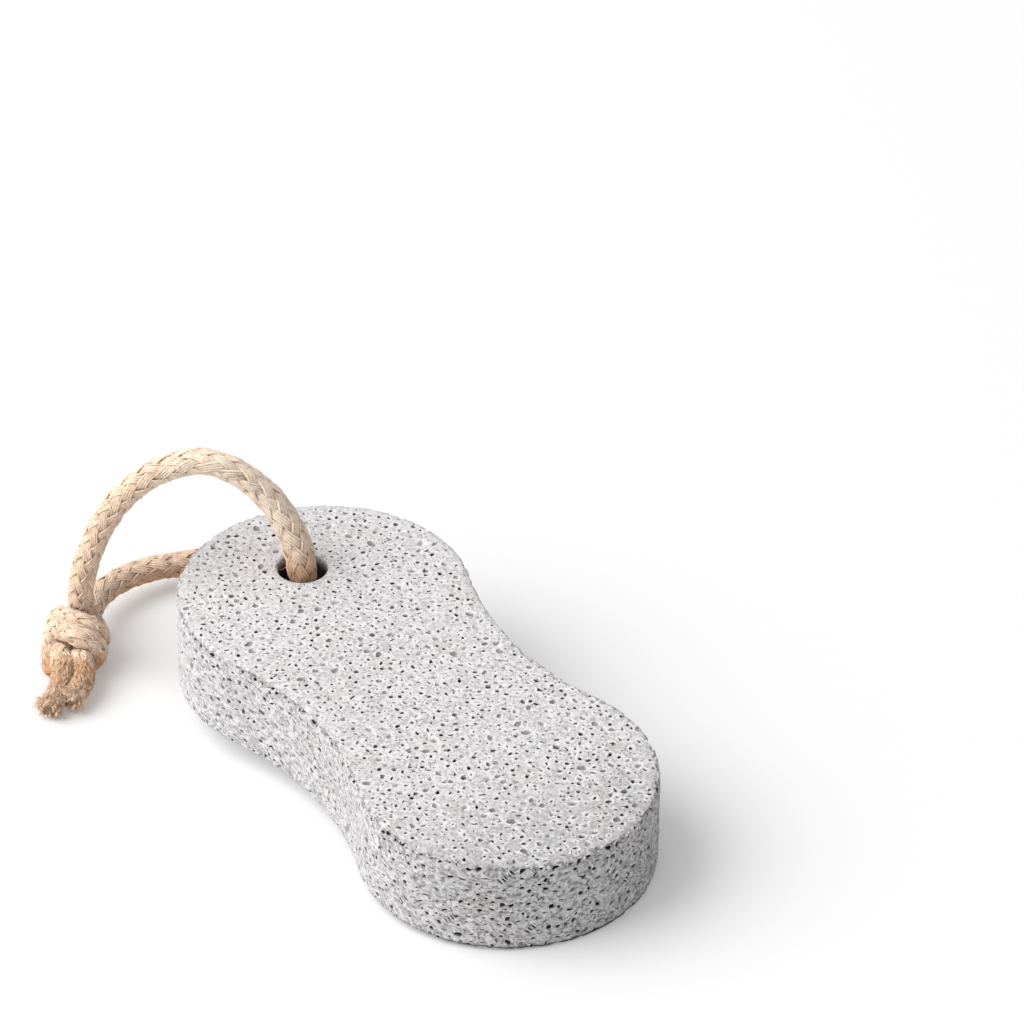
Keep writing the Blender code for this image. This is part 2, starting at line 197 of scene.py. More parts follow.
class CordFinish(bpy.types.PropertyGroup):
    """Colours of the jute."""

    light: colour_property("Light fibres", "Palest fibres of the jute", (1.0, 0.815, 0.668))
    dark: colour_property("Dark fibres", "Darkest fibres of the jute", (0.80, 0.58, 0.42))
    # the darkening tint: browner low stretches and tails, and painted shade where the cord goes into the hole
    darkening_tint: colour_property("Worn jute", "Tint of soiled jute, as on the floor", (0.60, 0.365, 0.205))
    frayed: colour_property("Frayed jute", "Tint of the fibres of the cut ends", (0.46, 0.335, 0.22))
    # painted light: the paler colour of the limb above the hole
    painted_light: colour_property("Bleached jute", "Paler fibres above the hole", (1.0, 0.818, 0.668))
    blush: colour_property("Blush", "Redder fibres in patches", (0.96, 0.70, 0.54))
    # painted shade: the dark brown where a strand dives under another and in the furrows between yarns; it
    # also colours the dark flecks
    seam: colour_property("Seams", "Where a strand dives under another", (0.28, 0.16, 0.085))


class StageLook(bpy.types.PropertyGroup):
    """Floor and light."""

    floor: colour_property("Floor", "Colour of the floor", (0.60, 0.60, 0.60))
    floor_glow: bpy.props.FloatProperty(
        name="Floor glow", description="Light of the floor itself, a white sheet lit from below", default=0.2
    )
    sky: colour_property("Surroundings", "Colour of the light from all round", (1.0, 1.0, 1.0))
    sky_strength: bpy.props.FloatProperty(
        name="Surroundings strength", description="Strength of the light from all round", default=0.71
    )
    sky_slope: bpy.props.FloatProperty(
        name="Surroundings slope", description="How much darker the side away from the main light is",
        default=0.75,
    )
    key_power: bpy.props.FloatProperty(
        name="Main light", description="Power of the main light in watts", default=70.0, unit="POWER"
    )


# ---- meshes from arrays ----


def new_piece(name, points_mm, faces, material, smooth_angle=None, **attributes):
    """An object from points in millimetres and faces as rows of corner numbers, one length to a group.

    Every attribute is an array with one value, or one row of three, for each point."""
    mesh = bpy.data.meshes.new(name)
    groups = faces if isinstance(faces, list) else [faces]
    corners = np.concatenate([group.ravel() for group in groups]).astype(np.int32)
    sizes = np.concatenate([np.full(len(group), group.shape[1]) for group in groups])
    starts = np.concatenate([[0], np.cumsum(sizes)[:-1]]).astype(np.int32)
    mesh.vertices.add(len(points_mm))
    mesh.vertices.foreach_set("co", (np.asarray(points_mm) * MM).astype(np.float32).ravel())
    mesh.loops.add(len(corners))
    mesh.loops.foreach_set("vertex_index", corners)
    mesh.polygons.add(len(sizes))
    mesh.polygons.foreach_set("loop_start", starts)
    for attribute_name, values in attributes.items():
        values = np.asarray(values, np.float32)
        kind, key = ("FLOAT", "value") if values.ndim == 1 else ("FLOAT_VECTOR", "vector")
        mesh.attributes.new(attribute_name, kind, "POINT").data.foreach_set(key, values.ravel())
    mesh.update(calc_edges=True)
    mesh.validate()
    mesh.shade_smooth()
    if smooth_angle is not None:
        mesh.set_sharp_from_angle(angle=smooth_angle)
    mesh.materials.append(material)
    return new_object(name, mesh)


def new_object(name, data):
    """A new object of the scene, for a mesh, a camera or a light."""
    made = bpy.data.objects.new(name, data)
    bpy.context.scene.collection.objects.link(made)
    return made


def unit(rows):
    """Each row scaled to length 1."""
    return rows / np.linalg.norm(rows, axis=-1, keepdims=True)


def tube_faces(rings, around, first):
    """Quads between the rings of one tube, whose first point has the number first."""
    ring, turn = np.meshgrid(np.arange(rings - 1), np.arange(around), indexing="ij")
    onward = (turn + 1) % around
    here, after = ring * around, (ring + 1) * around
    quads = np.stack([here + turn, here + onward, after + onward, after + turn], axis=-1)
    return first + quads.reshape(-1, 4)


# ---- shader nodes ----

VECTOR, FLOAT = "NodeSocketVector", "NodeSocketFloat"
# sockets of a mix node that mixes colours: its share, its two colours and the colour that comes out
MIX_SHARE, MIX_FIRST, MIX_SECOND, MIX_RESULT = 0, 6, 7, 2


class NodeBench:
    """Adds nodes to one tree and joins them up."""

    def __init__(self, tree):
        self.tree = tree

    def add(self, kind, inputs=None, **settings):
        """A node with its settings, and each input joined to another node or set to a constant."""
        node = self.tree.nodes.new(kind)
        for key, value in settings.items():
            setattr(node, key, value)
        for key, value in (inputs or {}).items():
            if isinstance(value, bpy.types.NodeSocket):
                self.tree.links.new(value, node.inputs[key])
            else:
                node.inputs[key].default_value = value
        return node

    def maths(self, operation, first, second=0.0, clamp=False):
        """One step of arithmetic."""
        inputs = {0: first, 1: second}
        return self.add("ShaderNodeMath", inputs, operation=operation, use_clamp=clamp).outputs[0]

    def times(self, first, second, clamp=False):
        """Product of two values."""
        return self.maths("MULTIPLY", first, second, clamp)

    def plus(self, first, second, clamp=False):
        """Sum of two values."""
        return self.maths("ADD", first, second, clamp)

    def minus(self, first, second, clamp=False):
        """First value less the second."""
        return self.maths("SUBTRACT", first, second, clamp)

    def scale(self, vector, factor):
        """A vector times a value."""
        inputs = {0: vector, "Scale": factor}
        return self.add("ShaderNodeVectorMath", inputs, operation="SCALE").outputs[0]

    def blend(self, share, first, second, mode="MIX"):
        """The first colour with a share of the second over it."""
        inputs = {MIX_SHARE: share, MIX_FIRST: first, MIX_SECOND: second}
        return self.add("ShaderNodeMix", inputs, data_type="RGBA", blend_type=mode).outputs[MIX_RESULT]

    def ramp(self, value, low, high, before=0.0, after=1.0):
        """Goes from 0 below low to 1 above high, or between other values, smoothly."""
        inputs = {"Value": value, "From Min": low, "From Max": high, "To Min": before, "To Max": after}
        return self.add("ShaderNodeMapRange", inputs, interpolation_type="SMOOTHSTEP").outputs["Result"]

    def cloud(self, place, rate, detail, roughness=0.5):
        """Outputs of a noise texture."""
        inputs = {"Vector": place, "Scale": rate, "Detail": detail, "Roughness": roughness}
        return self.add("ShaderNodeTexNoise", inputs).outputs

    def parts(self, vector):
        """The three numbers of a vector."""
        return self.add("ShaderNodeSeparateXYZ", {0: vector}).outputs

    def attribute(self, name):
        """Outputs of an attribute of the mesh."""
        return self.add("ShaderNodeAttribute", attribute_name=name).outputs

    def group(self, tree, inputs):
        """Outputs of a node group."""
        return self.add("ShaderNodeGroup", inputs, node_tree=tree).outputs


def new_group(name, sockets_in, sockets_out):
    """A shader node group from {name: (socket type, default)} in and the names of the values out."""
    tree = bpy.data.node_groups.new(name, "ShaderNodeTree")
    for socket_name, (kind, default) in sockets_in.items():
        socket = tree.interface.new_socket(socket_name, in_out="INPUT", socket_type=kind)
        if default is not None:
            socket.default_value = default
    for socket_name in sockets_out:
        tree.interface.new_socket(socket_name, in_out="OUTPUT", socket_type=FLOAT)
    bench = NodeBench(tree)
    given = bench.add("NodeGroupInput").outputs
    results = bench.add("NodeGroupOutput").inputs
    return bench, given, results


def mottle_group():
    """Soft patches of a given size, used by the pumice and by the jute."""
    name = "mottle"
    if name in bpy.data.node_groups:
        return bpy.data.node_groups[name]
    sockets = {
        "Place": (VECTOR, None),
        "Patch size": (FLOAT, 1.0),
        "Detail": (FLOAT, 3.0),
        "Low": (FLOAT, 0.4),
        "High": (FLOAT, 0.6),
    }
    bench, given, results = new_group(name, sockets, ["Mask"])
    rate = bench.maths("DIVIDE", 1.0, given["Patch size"])
    cloud = bench.cloud(given["Place"], rate, given["Detail"], roughness=0.6)["Fac"]
    bench.tree.links.new(bench.ramp(cloud, given["Low"], given["High"]), results["Mask"])
    return bench.tree


# reach of the smallest grains and how much further the largest go, as shares of a cell, and the full core
GRAIN_LEAST, GRAIN_SPREAD, GRAIN_CORE = 0.22, 0.25, 0.55


def grains_group():
    """Scattered grains: a share of the cells of a loose packing, each a ragged blot."""
    name = "grains"
    if name in bpy.data.node_groups:
        return bpy.data.node_groups[name]
    sockets = {
        "Place": (VECTOR, None),
        "Grain size": (FLOAT, 0.6),
        "Share": (FLOAT, 0.3),
        "Raggedness": (FLOAT, 0.25),
    }
    bench, given, results = new_group(name, sockets, ["Mask"])
    place = bench.scale(given["Place"], bench.maths("DIVIDE", 1.0, given["Grain size"]))
    ragged = bench.cloud(place, rate=1.7, detail=3.0)["Color"]
    centred = bench.add("ShaderNodeVectorMath", {0: ragged, 1: (0.5, 0.5, 0.5)}, operation="SUBTRACT")
    push = bench.scale(centred.outputs[0], bench.times(given["Raggedness"], 4.0))
    moved = bench.add("ShaderNodeVectorMath", {0: place, 1: push}, operation="ADD").outputs[0]
    cells = bench.add("ShaderNodeTexVoronoi", {"Vector": moved, "Scale": 1.0, "Randomness": 1.0}).outputs
    lot, size, _ = bench.add("ShaderNodeSeparateColor", {0: cells["Color"]}).outputs
    chosen = bench.maths("LESS_THAN", lot, given["Share"])
    reach = bench.plus(bench.times(size, GRAIN_SPREAD), GRAIN_LEAST)
    core = bench.times(reach, GRAIN_CORE)
    blot = bench.ramp(cells["Distance"], core, reach, before=1.0, after=0.0)
    bench.tree.links.new(bench.times(chosen, blot), results["Mask"])
    return bench.tree


FIBRE_SLANT = 0.22  # how far fibres run across a strand, for each millimetre along it
STRAND_STEP = 17.0  # between the streaks of one strand and those of the next, in their noise
FLECKS = (0.62, 0.72)  # levels of their noise where flecks begin and are full


def fibres_group():
    """Fine streaks along a strand, from coordinates (along, across, strand) in millimetres."""
    name = "fibres"
    if name in bpy.data.node_groups:
        return bpy.data.node_groups[name]
    sockets = {"Place": (VECTOR, None), "Fibre length": (FLOAT, 3.0), "Fibre width": (FLOAT, 0.08)}
    bench, given, results = new_group(name, sockets, ["Streak", "Fleck"])
    along, across, strand = bench.parts(given["Place"])
    slanted = bench.plus(across, bench.times(along, FIBRE_SLANT))
    stretched = {
        0: bench.maths("DIVIDE", along, given["Fibre length"]),
        1: bench.maths("DIVIDE", slanted, given["Fibre width"]),
        2: bench.times(strand, STRAND_STEP),
    }
    stretched = bench.add("ShaderNodeCombineXYZ", stretched).outputs[0]
    streak = bench.cloud(stretched, rate=1.0, detail=2.0, roughness=0.55)["Fac"]
    fleck = bench.cloud(stretched, rate=0.45, detail=1.0)["Fac"]
    bench.tree.links.new(streak, results["Streak"])
    bench.tree.links.new(bench.ramp(fleck, *FLECKS), results["Fleck"])
    return bench.tree


def opaque(colour):
    """A colour with full cover as its fourth number."""
    return (*colour, 1.0)


def new_material(name):
    """A material, a bench for its tree and its Principled node."""
    material = bpy.data.materials.new(name)
    material.use_nodes = True
    return material, NodeBench(material.node_tree), material.node_tree.nodes["Principled BSDF"]


def material_once(name, make, *details):
    """The material of that name, made if it isn't there yet."""
    return bpy.data.materials.get(name) or make(name, *details)


def soft_patches(bench, place, size, detail, low, high):
    """Mask of soft patches about size millimetres wide."""
    values = {"Place": place, "Patch size": size, "Detail": detail, "Low": low, "High": high}
    return bench.group(mottle_group(), values)["Mask"]


# Soft patches of the pumice: width in millimetres, and levels of their noise where they begin and are full
FINE_PATCHES = (0.62, 0.38, 0.60)
STAINS = (9.0, 0.45, 0.70)
DULL_PATCHES = (2.8, 0.50, 0.66)
UNEVEN_PATCHES = (1.3, 0.38, 0.58)
BLOTCHES = (1.1, 0.50, 0.62)
# Grains of the pumice: width in millimetres, share of the places that has one, raggedness, and a shift that
# keeps each set off the others
PALE_GRAINS = (0.66, 0.42, 0.45, 1.0)
GREY_GRAINS = (0.92, 0.36, 0.50, 1.13)
SMALL_GREY_GRAINS = (0.54, 0.40, 0.50, 1.37)
PINHOLES = (0.46, 0.12, 0.30, 0.91)
# Levels where each of these begins and is full: streaks of the wall and the pale lines between them, in their
# noise, and the pale rim and the painted shade on the floor of a pore, in its darkness
LEVEL_STREAKS, FALLING_STREAKS, BRIGHT_LINES = (0.55, 0.66), (0.57, 0.66), (0.44, 0.34)
RIM_BEGINS, RIM_ENDS, FLOOR_BEGINS = (0.005, 0.05), (0.07, 0.14), (0.10, 0.85)
STREAK_LENGTH, STREAK_WIDTH = 1.25, 0.52  # of the level streaks on the wall, in millimetres
FALLING_LENGTH, FALLING_WIDTH = STREAK_LENGTH * 0.8, STREAK_WIDTH * 1.2  # of the falling streaks
STREAK_FALL = 0.8  # of the falling streaks, for each step round the stone
SWAY, SWAY_RATE = 9.0, 0.12  # how far the streaks wander up and down in millimetres, and how fast
WALL_FOOT = 15.6  # distance down the unrolled wall to its foot, in millimetres
FOOT_SHADOW_HEIGHT = 0.45  # of the painted shadow along the foot, a dark line, in millimetres
ROUGH_FROM, ROUGH_TO = 20.0, 50.0  # along the stone, in millimetres: its wall gets rougher that way, and painted shade darkens that end
PALE_FROM, PALE_TO = 0.0, -35.0  # along the stone, in millimetres: painted light makes it a little paler that way
PUMICE_BUMP, JUTE_BUMP = 0.15 * MM, 0.14 * MM  # heights of the finest relief


def pumice_material(name, finish):
    """Pale porous rock: soft mottling, white and grey grains, painted shade in the pores, on the walls,
    edges, foot and rough end, painted light on the lobe with the hole, and a dusty bump.
    """
    material, bench, surface = new_material(name)
    place = bench.scale(bench.add("ShaderNodeTexCoord").outputs["Object"], 1 / MM)
    pore = bench.attribute("pore")["Fac"]
    flank, around, down = bench.parts(bench.attribute("wall")["Vector"])
    along = bench.parts(place)[0]

    def patches(size, low, high):
        """Mask of soft patches of the rock."""
        return soft_patches(bench, place, size, 3.0, low, high)

    def blots(size, share, raggedness, shift):
        """Mask of ragged grains; the shift keeps one set of grains off another."""
        moved = bench.scale(place, shift)
        values = {"Place": moved, "Grain size": size, "Share": share, "Raggedness": raggedness}
        return bench.group(grains_group(), values)["Mask"]

    sway = bench.cloud(place, rate=SWAY_RATE, detail=1.0)["Fac"]
    swayed = bench.plus(down, bench.times(sway, SWAY))

    def scratches(slope, length, width):
        """Fine short lines on the unrolled wall, falling by slope for each step round the stone."""
        falling = bench.minus(swayed, bench.times(around, slope))
        across, onward = bench.maths("DIVIDE", falling, width), bench.maths("DIVIDE", around, length)
        unrolled = bench.add("ShaderNodeCombineXYZ", {0: onward, 1: across, 2: slope * 7.0}).outputs[0]
        return bench.cloud(unrolled, rate=1.0, detail=1.6)["Fac"]

    uneven = patches(*UNEVEN_PATCHES)
    pale = blots(*PALE_GRAINS)
    grey = blots(*GREY_GRAINS)
    pinholes = blots(*PINHOLES)
    rough = bench.ramp(along, ROUGH_FROM, ROUGH_TO)

    level_lines = scratches(0.0, STREAK_LENGTH, STREAK_WIDTH)
    falling_lines = scratches(STREAK_FALL, FALLING_LENGTH, FALLING_WIDTH)
    falling_streaks = bench.times(bench.ramp(falling_lines, *FALLING_STREAKS), uneven)
    streaks = bench.maths("MAXIMUM", bench.ramp(level_lines, *LEVEL_STREAKS), falling_streaks)
    streaks = bench.times(streaks, flank)
    bright = bench.times(bench.ramp(level_lines, *BRIGHT_LINES), flank)

    halo = bench.minus(bench.ramp(pore, *RIM_BEGINS), bench.ramp(pore, *RIM_ENDS), clamp=True)
    halo = bench.times(halo, bench.minus(uneven, bench.times(flank, 0.7), clamp=True))
    # painted shade on the rounded edges, so that they don't shine in the main light
    edge = bench.times(flank, bench.minus(1.0, flank))
    # painted shadow: a dark line along the foot of the rough end, where the stone meets the floor
    painted_foot_shadow = bench.times(bench.ramp(down, WALL_FOOT - FOOT_SHADOW_HEIGHT, WALL_FOOT), rough)
    # the wall darkened in patches: partly duller rock, partly painted shade standing for the shade of its
    # pits
    dull_and_shaded_wall = bench.plus(bench.times(patches(*DULL_PATCHES), 0.20), bench.times(rough, 0.03))

    body = bench.blend(patches(*FINE_PATCHES), opaque(finish.body), opaque(finish.ground))
    # one tint after the other: where it lies, how strong it is there, and its colour
    for mask, strength, tint in (
        (patches(*STAINS), 0.3, finish.warm),
        (pale, 0.75, finish.pale),
        # painted light: the lobe with the hole a little paler
        (bench.ramp(along, PALE_FROM, PALE_TO), 0.16, finish.pale),
        (grey, 0.42, finish.shade),
        (blots(*SMALL_GREY_GRAINS), 0.52, finish.shade),
        # the wall's dulling and painted shade
        (flank, dull_and_shaded_wall, finish.shade),
        (flank, bench.times(patches(*BLOTCHES), 0.20), finish.shade),
        # painted shade: the rough end darker, its top more than its wall
        (rough, bench.minus(0.30, bench.times(flank, 0.17)), finish.shade),
        # painted shade on the rounded edges
        (edge, 0.9, finish.shade),
        (bright, 0.28, finish.pale),
        (streaks, bench.plus(bench.times(rough, 0.44), 0.32), finish.shade),
        (halo, 0.6, finish.pale),
        # pinholes: painted shade of holes too small to be cut into the mesh
        (pinholes, 0.75, finish.pore),
        # painted contact shadow along the foot
        (painted_foot_shadow, 0.85, finish.pore),
    ):
        body = bench.blend(bench.times(mask, strength), body, opaque(tint))
    # painted shade in the pores, darker towards the floor of each and darkest in the deep ones
    colour = bench.blend(bench.ramp(pore, *FLOOR_BEGINS), body, opaque(finish.pore))
    bench.tree.links.new(colour, surface.inputs["Base Color"])

    height = bench.cloud(place, rate=3.2, detail=5.0, roughness=0.65)["Fac"]
    # pinholes, grey grains and streaks sink the surface, pale grains raise it
    for mask, rise in ((pinholes, -0.8), (pale, 0.3), (grey, -0.5), (streaks, -0.8)):
        height = bench.plus(height, bench.times(mask, rise))
    bump = bench.add("ShaderNodeBump", {"Strength": 0.85, "Distance": PUMICE_BUMP, "Height": height})
    bench.tree.links.new(bump.outputs[0], surface.inputs["Normal"])
    surface.inputs["Roughness"].default_value = 0.95
    surface.inputs["Specular IOR Level"].default_value = 0.2
    return material


# Soft patches of the jute: width in millimetres, detail, and the levels of their noise where they begin and
# are full
TONE_PATCHES = (2.2, 2.0, 0.3, 0.7)
BROKEN_PATCHES = (0.8, 2.0, 0.36, 0.6)
BLUSH_PATCHES = (4.0, 1.0, 0.45, 0.65)
LIGHT_FIBRES = (0.36, 0.62)  # levels of the streaks between which fibres go from dark to light
STREAK_SHARE, TONE_SHARE = 0.68, 0.32  # of the streaks and of the tone in how light a fibre is
SEAM_TOP = 0.85  # height on a strand, as a share, up to which the painted shade of its seams darkens it
# Width of the fibres in millimetres, and how far the seams' painted shade darkens, the darkening tint tints
# and dark fibres are paler
JuteLook = namedtuple("JuteLook", "fibre_width seam_share soiling paleness")
BRAIDED_LOOK = JuteLook(0.26, 0.8, 0.8, 0.0)
LOOSE_LOOK = JuteLook(0.3, 0.4, 0.85, 0.3)
FIBRE_LENGTH = 2.6  # of the streaks along a strand, in millimetres
FIBRE_SCATTER = (1.0, 0.7, 0.45)  # how far red, green and blue light spreads in the fibres


def jute_material(name, finish, darkening_tint, look):
    """Jute: streaks along each strand, tone from strand to strand, brown painted shade where strands dive
    under, a darkening tint, and painted light above the hole.
    """
    material, bench, surface = new_material(name)
    place = bench.attribute("fibre")["Vector"]
    crown = bench.attribute("crown")["Fac"]
    soiled = bench.attribute("soiled")["Fac"]
    values = {"Place": place, "Fibre length": FIBRE_LENGTH, "Fibre width": look.fibre_width}
    fibres = bench.group(fibres_group(), values)
    tone = soft_patches(bench, place, *TONE_PATCHES)
    broken = soft_patches(bench, place, *BROKEN_PATCHES)
    blush = soft_patches(bench, place, *BLUSH_PATCHES)
    # above 0 the attribute darkens: painted shade at the hole's mouth, browner low stretches and tails; below
    # 0 it is painted light
    painted_light = bench.times(soiled, -1.0, clamp=True)
    soiled = bench.times(soiled, 1.0, clamp=True)

    dark = [low + (high - low) * look.paleness for low, high in zip(finish.dark, finish.light)]
    streaked = bench.times(bench.ramp(fibres["Streak"], *LIGHT_FIBRES), STREAK_SHARE)
    light_share = bench.plus(streaked, bench.times(tone, TONE_SHARE), clamp=True)
    colour = bench.blend(light_share, opaque(dark), opaque(finish.light))
    colour = bench.blend(bench.times(blush, 0.3), colour, opaque(finish.blush))
    # painted light on the limb above the hole
    colour = bench.blend(bench.times(painted_light, 0.9), colour, opaque(finish.painted_light))
    colour = bench.blend(bench.times(soiled, look.soiling), colour, opaque(darkening_tint), "MULTIPLY")
    flecks = bench.times(fibres["Fleck"], 0.45 * (1 - look.paleness))
    colour = bench.blend(flecks, colour, opaque(finish.seam))
    # painted shade of the seams: low on a strand, under a crossing, and on the core
    seam_shade = bench.minus(1.0, bench.ramp(crown, 0.0, SEAM_TOP))
    seam_shade = bench.times(seam_shade, bench.plus(bench.times(broken, 0.85), 0.15))
    # the painted light also thins the seams' painted shade
    seam_shade = bench.times(seam_shade, bench.minus(1.0, bench.times(painted_light, 0.3)))
    colour = bench.blend(bench.times(seam_shade, look.seam_share), colour, opaque(finish.seam))
    bench.tree.links.new(colour, surface.inputs["Base Color"])

    bump = bench.add("ShaderNodeBump", {"Strength": 1.0, "Distance": JUTE_BUMP, "Height": fibres["Streak"]})
    bench.tree.links.new(bump.outputs[0], surface.inputs["Normal"])
    surface.inputs["Roughness"].default_value = 0.8
    surface.inputs["Specular IOR Level"].default_value = 0.25
    surface.inputs["Sheen Weight"].default_value = 0.12
    surface.inputs["Sheen Tint"].default_value = opaque(finish.light)
    surface.inputs["Sheen Roughness"].default_value = 0.6
    surface.inputs["Subsurface Weight"].default_value = 0.3
    surface.inputs["Subsurface Radius"].default_value = FIBRE_SCATTER
    surface.inputs["Subsurface Scale"].default_value = 0.6 * MM
    return material


def braided_jute(finish):
    """Material of the braid."""
    return material_once("braided_jute", jute_material, finish, finish.darkening_tint, BRAIDED_LOOK)


def loose_jute(finish):
    """Material of the frayed ends and stray fibres."""
    return material_once("loose_jute", jute_material, finish, finish.frayed, LOOSE_LOOK)


# ---- line of the cord ----


def smooth_line(points, samples=24):
    """A smooth curve through all the rows of points, sampled finely."""
    points = np.asarray(points, float)
    padded = np.vstack([2 * points[0] - points[1], points, 2 * points[-1] - points[-2]])
    share = (np.arange(samples) / samples)[:, None]
    line = []
    for p0, p1, p2, p3 in zip(padded, padded[1:], padded[2:], padded[3:]):
        line.append(
            0.5 * (2 * p1 + (p2 - p0) * share + (2 * p0 - 5 * p1 + 4 * p2 - p3) * share**2)
            + 0.5 * (3 * p1 - p0 - 3 * p2 + p3) * share**3
        )
    return np.vstack([*line, points[-1:]])


def travelled(line):
    """Distance from the line's start to each of its points, from their first three numbers."""
    steps = np.linalg.norm(np.diff(line[:, :3], axis=0), axis=1)
    return np.concatenate([[0.0], np.cumsum(steps)])


def even_steps(line, step):
    """Points about one step apart along a fine line, both ends kept."""
    distance = travelled(line)
    targets = np.linspace(0, distance[-1], max(2, round(distance[-1] / step)) + 1)
    return np.stack([np.interp(targets, distance, column) for column in line.T], axis=1)


def knot_strand(shift, cord_end, cord_before_end, radius):
    """One of the knot's two strands, as rows (x, y, z, radius), from the end of the loop it carries on."""
    toward_loop = -KNOT_AXIS
    upward = KNOT_AXIS.cross(KNOT_SIDE)
    onward = unit(cord_end - cord_before_end)
    rows = [(*(cord_end + onward * start), radius) for start in STRAND_STARTS]
    for (side, back, up), (out_side, out_back, out_up), strand_radius in KNOT_GUIDE:
        spread = shift * STRAND_GAP_HALF
        local = Vector((side, back, up)) + Vector((out_side, out_back, out_up)) * spread
        place = KNOT_CENTRE + KNOT_SIDE * local.x + toward_loop * local.y + upward * local.z
        rows.append((*place, strand_radius))
    return np.array(rows)


LINE_STEP = 0.4  # between the rings of a strand, in millimetres
PATH_STEP = 3.0  # between the points of the loop's path, in millimetres
TAIL_LENGTH = 9.5
SWELL_PLACE = (-34.2, -0.3, 24.5)  # where the cord bulges before it dips into the hole
SWELL, SWELL_REACH = 0.17, 8.0


class CordLine:
    """The whole cord in millimetres, from the end of one tail through the knot and the loop to the other."""

    def __init__(self, shape):
        radius = shape.diameter / MM / 2
        route = np.array(LOOP_ROUTE)
        loop = smooth_line(np.column_stack([route, np.full(len(route), radius)]))
        first = smooth_line(knot_strand(1, loop[0, :3], loop[1, :3], radius))
        second = smooth_line(knot_strand(-1, loop[-1, :3], loop[-2, :3], radius))
        whole = np.vstack([first[::-1], loop, second])
        rows = even_steps(whole, LINE_STEP)
        self.place, self.radius = rows[:, :3], rows[:, 3]
        from_mouth = np.linalg.norm(self.place - SWELL_PLACE, axis=1)
        self.radius = self.radius * (1 + SWELL * np.exp(-((from_mouth / SWELL_REACH) ** 2)))
        self.along = travelled(rows)
        distance = travelled(whole)
        self.loop_start = distance[len(first)]
        self.loop_end = distance[len(first) + len(loop) - 1]
        self.ahead = unit(np.gradient(self.place, axis=0))
        self.side = self.carried_side()
        self.up = np.cross(self.ahead, self.side)
        self.loop_path = even_steps(loop, PATH_STEP)[:, :3] * MM

    def carried_side(self):
        """A sideways direction carried along the line without twisting."""
        side = np.cross(self.ahead[0], (0.0, 0.0, 1.0))
        sides = [side / np.linalg.norm(side)]
        for ahead in self.ahead[1:]:
            side = sides[-1] - ahead * (sides[-1] @ ahead)
            sides.append(side / np.linalg.norm(side))
        return np.array(sides)

    def part(self, start, end):
        """Numbers of the line's points from start to end, in millimetres along it."""
        return np.nonzero((self.along >= start) & (self.along <= end))[0]

    def knot_sides(self):
        """The two stretches outside the loop: each of them half of the knot, and its tail."""
        return self.part(0, self.loop_start), self.part(self.loop_end, self.along[-1])

    def outward(self, at, angle):
        """Directions away from the line at its points, at angles round it."""
        return self.side[at] * np.cos(angle)[:, None] + self.up[at] * np.sin(angle)[:, None]


# ---- braid ----

CARRIERS = 8  # strands each way round
CROSSINGS = 16  # of one strand in each turn round the cord
WAVE_CROSSINGS = 4  # over two strands and under two
# One strand in section: four yarns side by side and a flat underside. Each row gives the places across, the
# heights, and the shade, which is 1 on a yarn and less in the furrows, where the seams' painted shade falls.
PROFILE_X = np.array([-1.0, -0.75, -0.50, -0.25, 0.0, 0.25, 0.50, 0.75, 1.0, 0.45, -0.45])
PROFILE_Y = np.array([0.05, 0.74, 0.22, 0.92, 0.32, 0.92, 0.22, 0.74, 0.05, -0.45, -0.45])
PROFILE_SHADE = np.array([0.10, 0.90, 0.12, 1.0, 0.20, 1.0, 0.12, 0.90, 0.10, 0.0, 0.0])
# Slow changes along a strand: how large, how fast for each millimetre, and which part of the noise they use
ANGLE_DRIFT = (0.10, 0.3, 61)
REACH_DRIFT = (0.13, 0.45, 1)
WIDTH_DRIFT = (0.12, 0.6, 31)
WIDTH_SPREAD, HEIGHT_SPREAD = 0.07, 0.1  # from strand to strand, as a share
SUNK_SHARE = 0.42  # of its thickness, by which a strand lies inside the cord's surface
CROSSING_GAIN = 1.15  # how much further than their height the strands rise and fall
FIBRE_RELIEF = 0.10  # how far single fibres lift or sink the surface of a strand, in millimetres
RELIEF_ALONG, RELIEF_ACROSS = 1.5, 3.1  # how fast that changes
DRIFT_SEED, RELIEF_SEED = 7.31, 5.17  # steps in the noise from one strand to the next
TAIL_CROWN = 0.15  # the loosened strands of the tails lie in the shade of the yarns over them
TAIL_GLOOM, TAIL_GLOOM_FADE = 6.0, 4.0  # length of that shade and of its fade, in millimetres
FIBRE_RATE, STRAND_APART = 1.2, 3.7  # stretch of the fibre coordinates, and their step between strands
KNOT_TIGHTNESS = 0.5  # how much tighter the braid is in the knot, as a share
KNOT_TIGHTENING = 3.0  # length over which it gets so, in millimetres


def drift(along, kind, number):
    """Slow random changes of one strand along the line."""
    size, rate, first = kind
    seed = (number + first) * DRIFT_SEED
    return size * np.array([noise.noise(Vector((distance * rate, seed, 0.5))) for distance in along])


def fine_relief(along, number):
    """Uneven relief of one strand, a value for each step along it and each point across."""
    seed = number * RELIEF_SEED
    return np.array([
        [noise.noise(Vector((distance * RELIEF_ALONG, place * RELIEF_ACROSS, seed))) for place in PROFILE_X]
        for distance in along
    ])


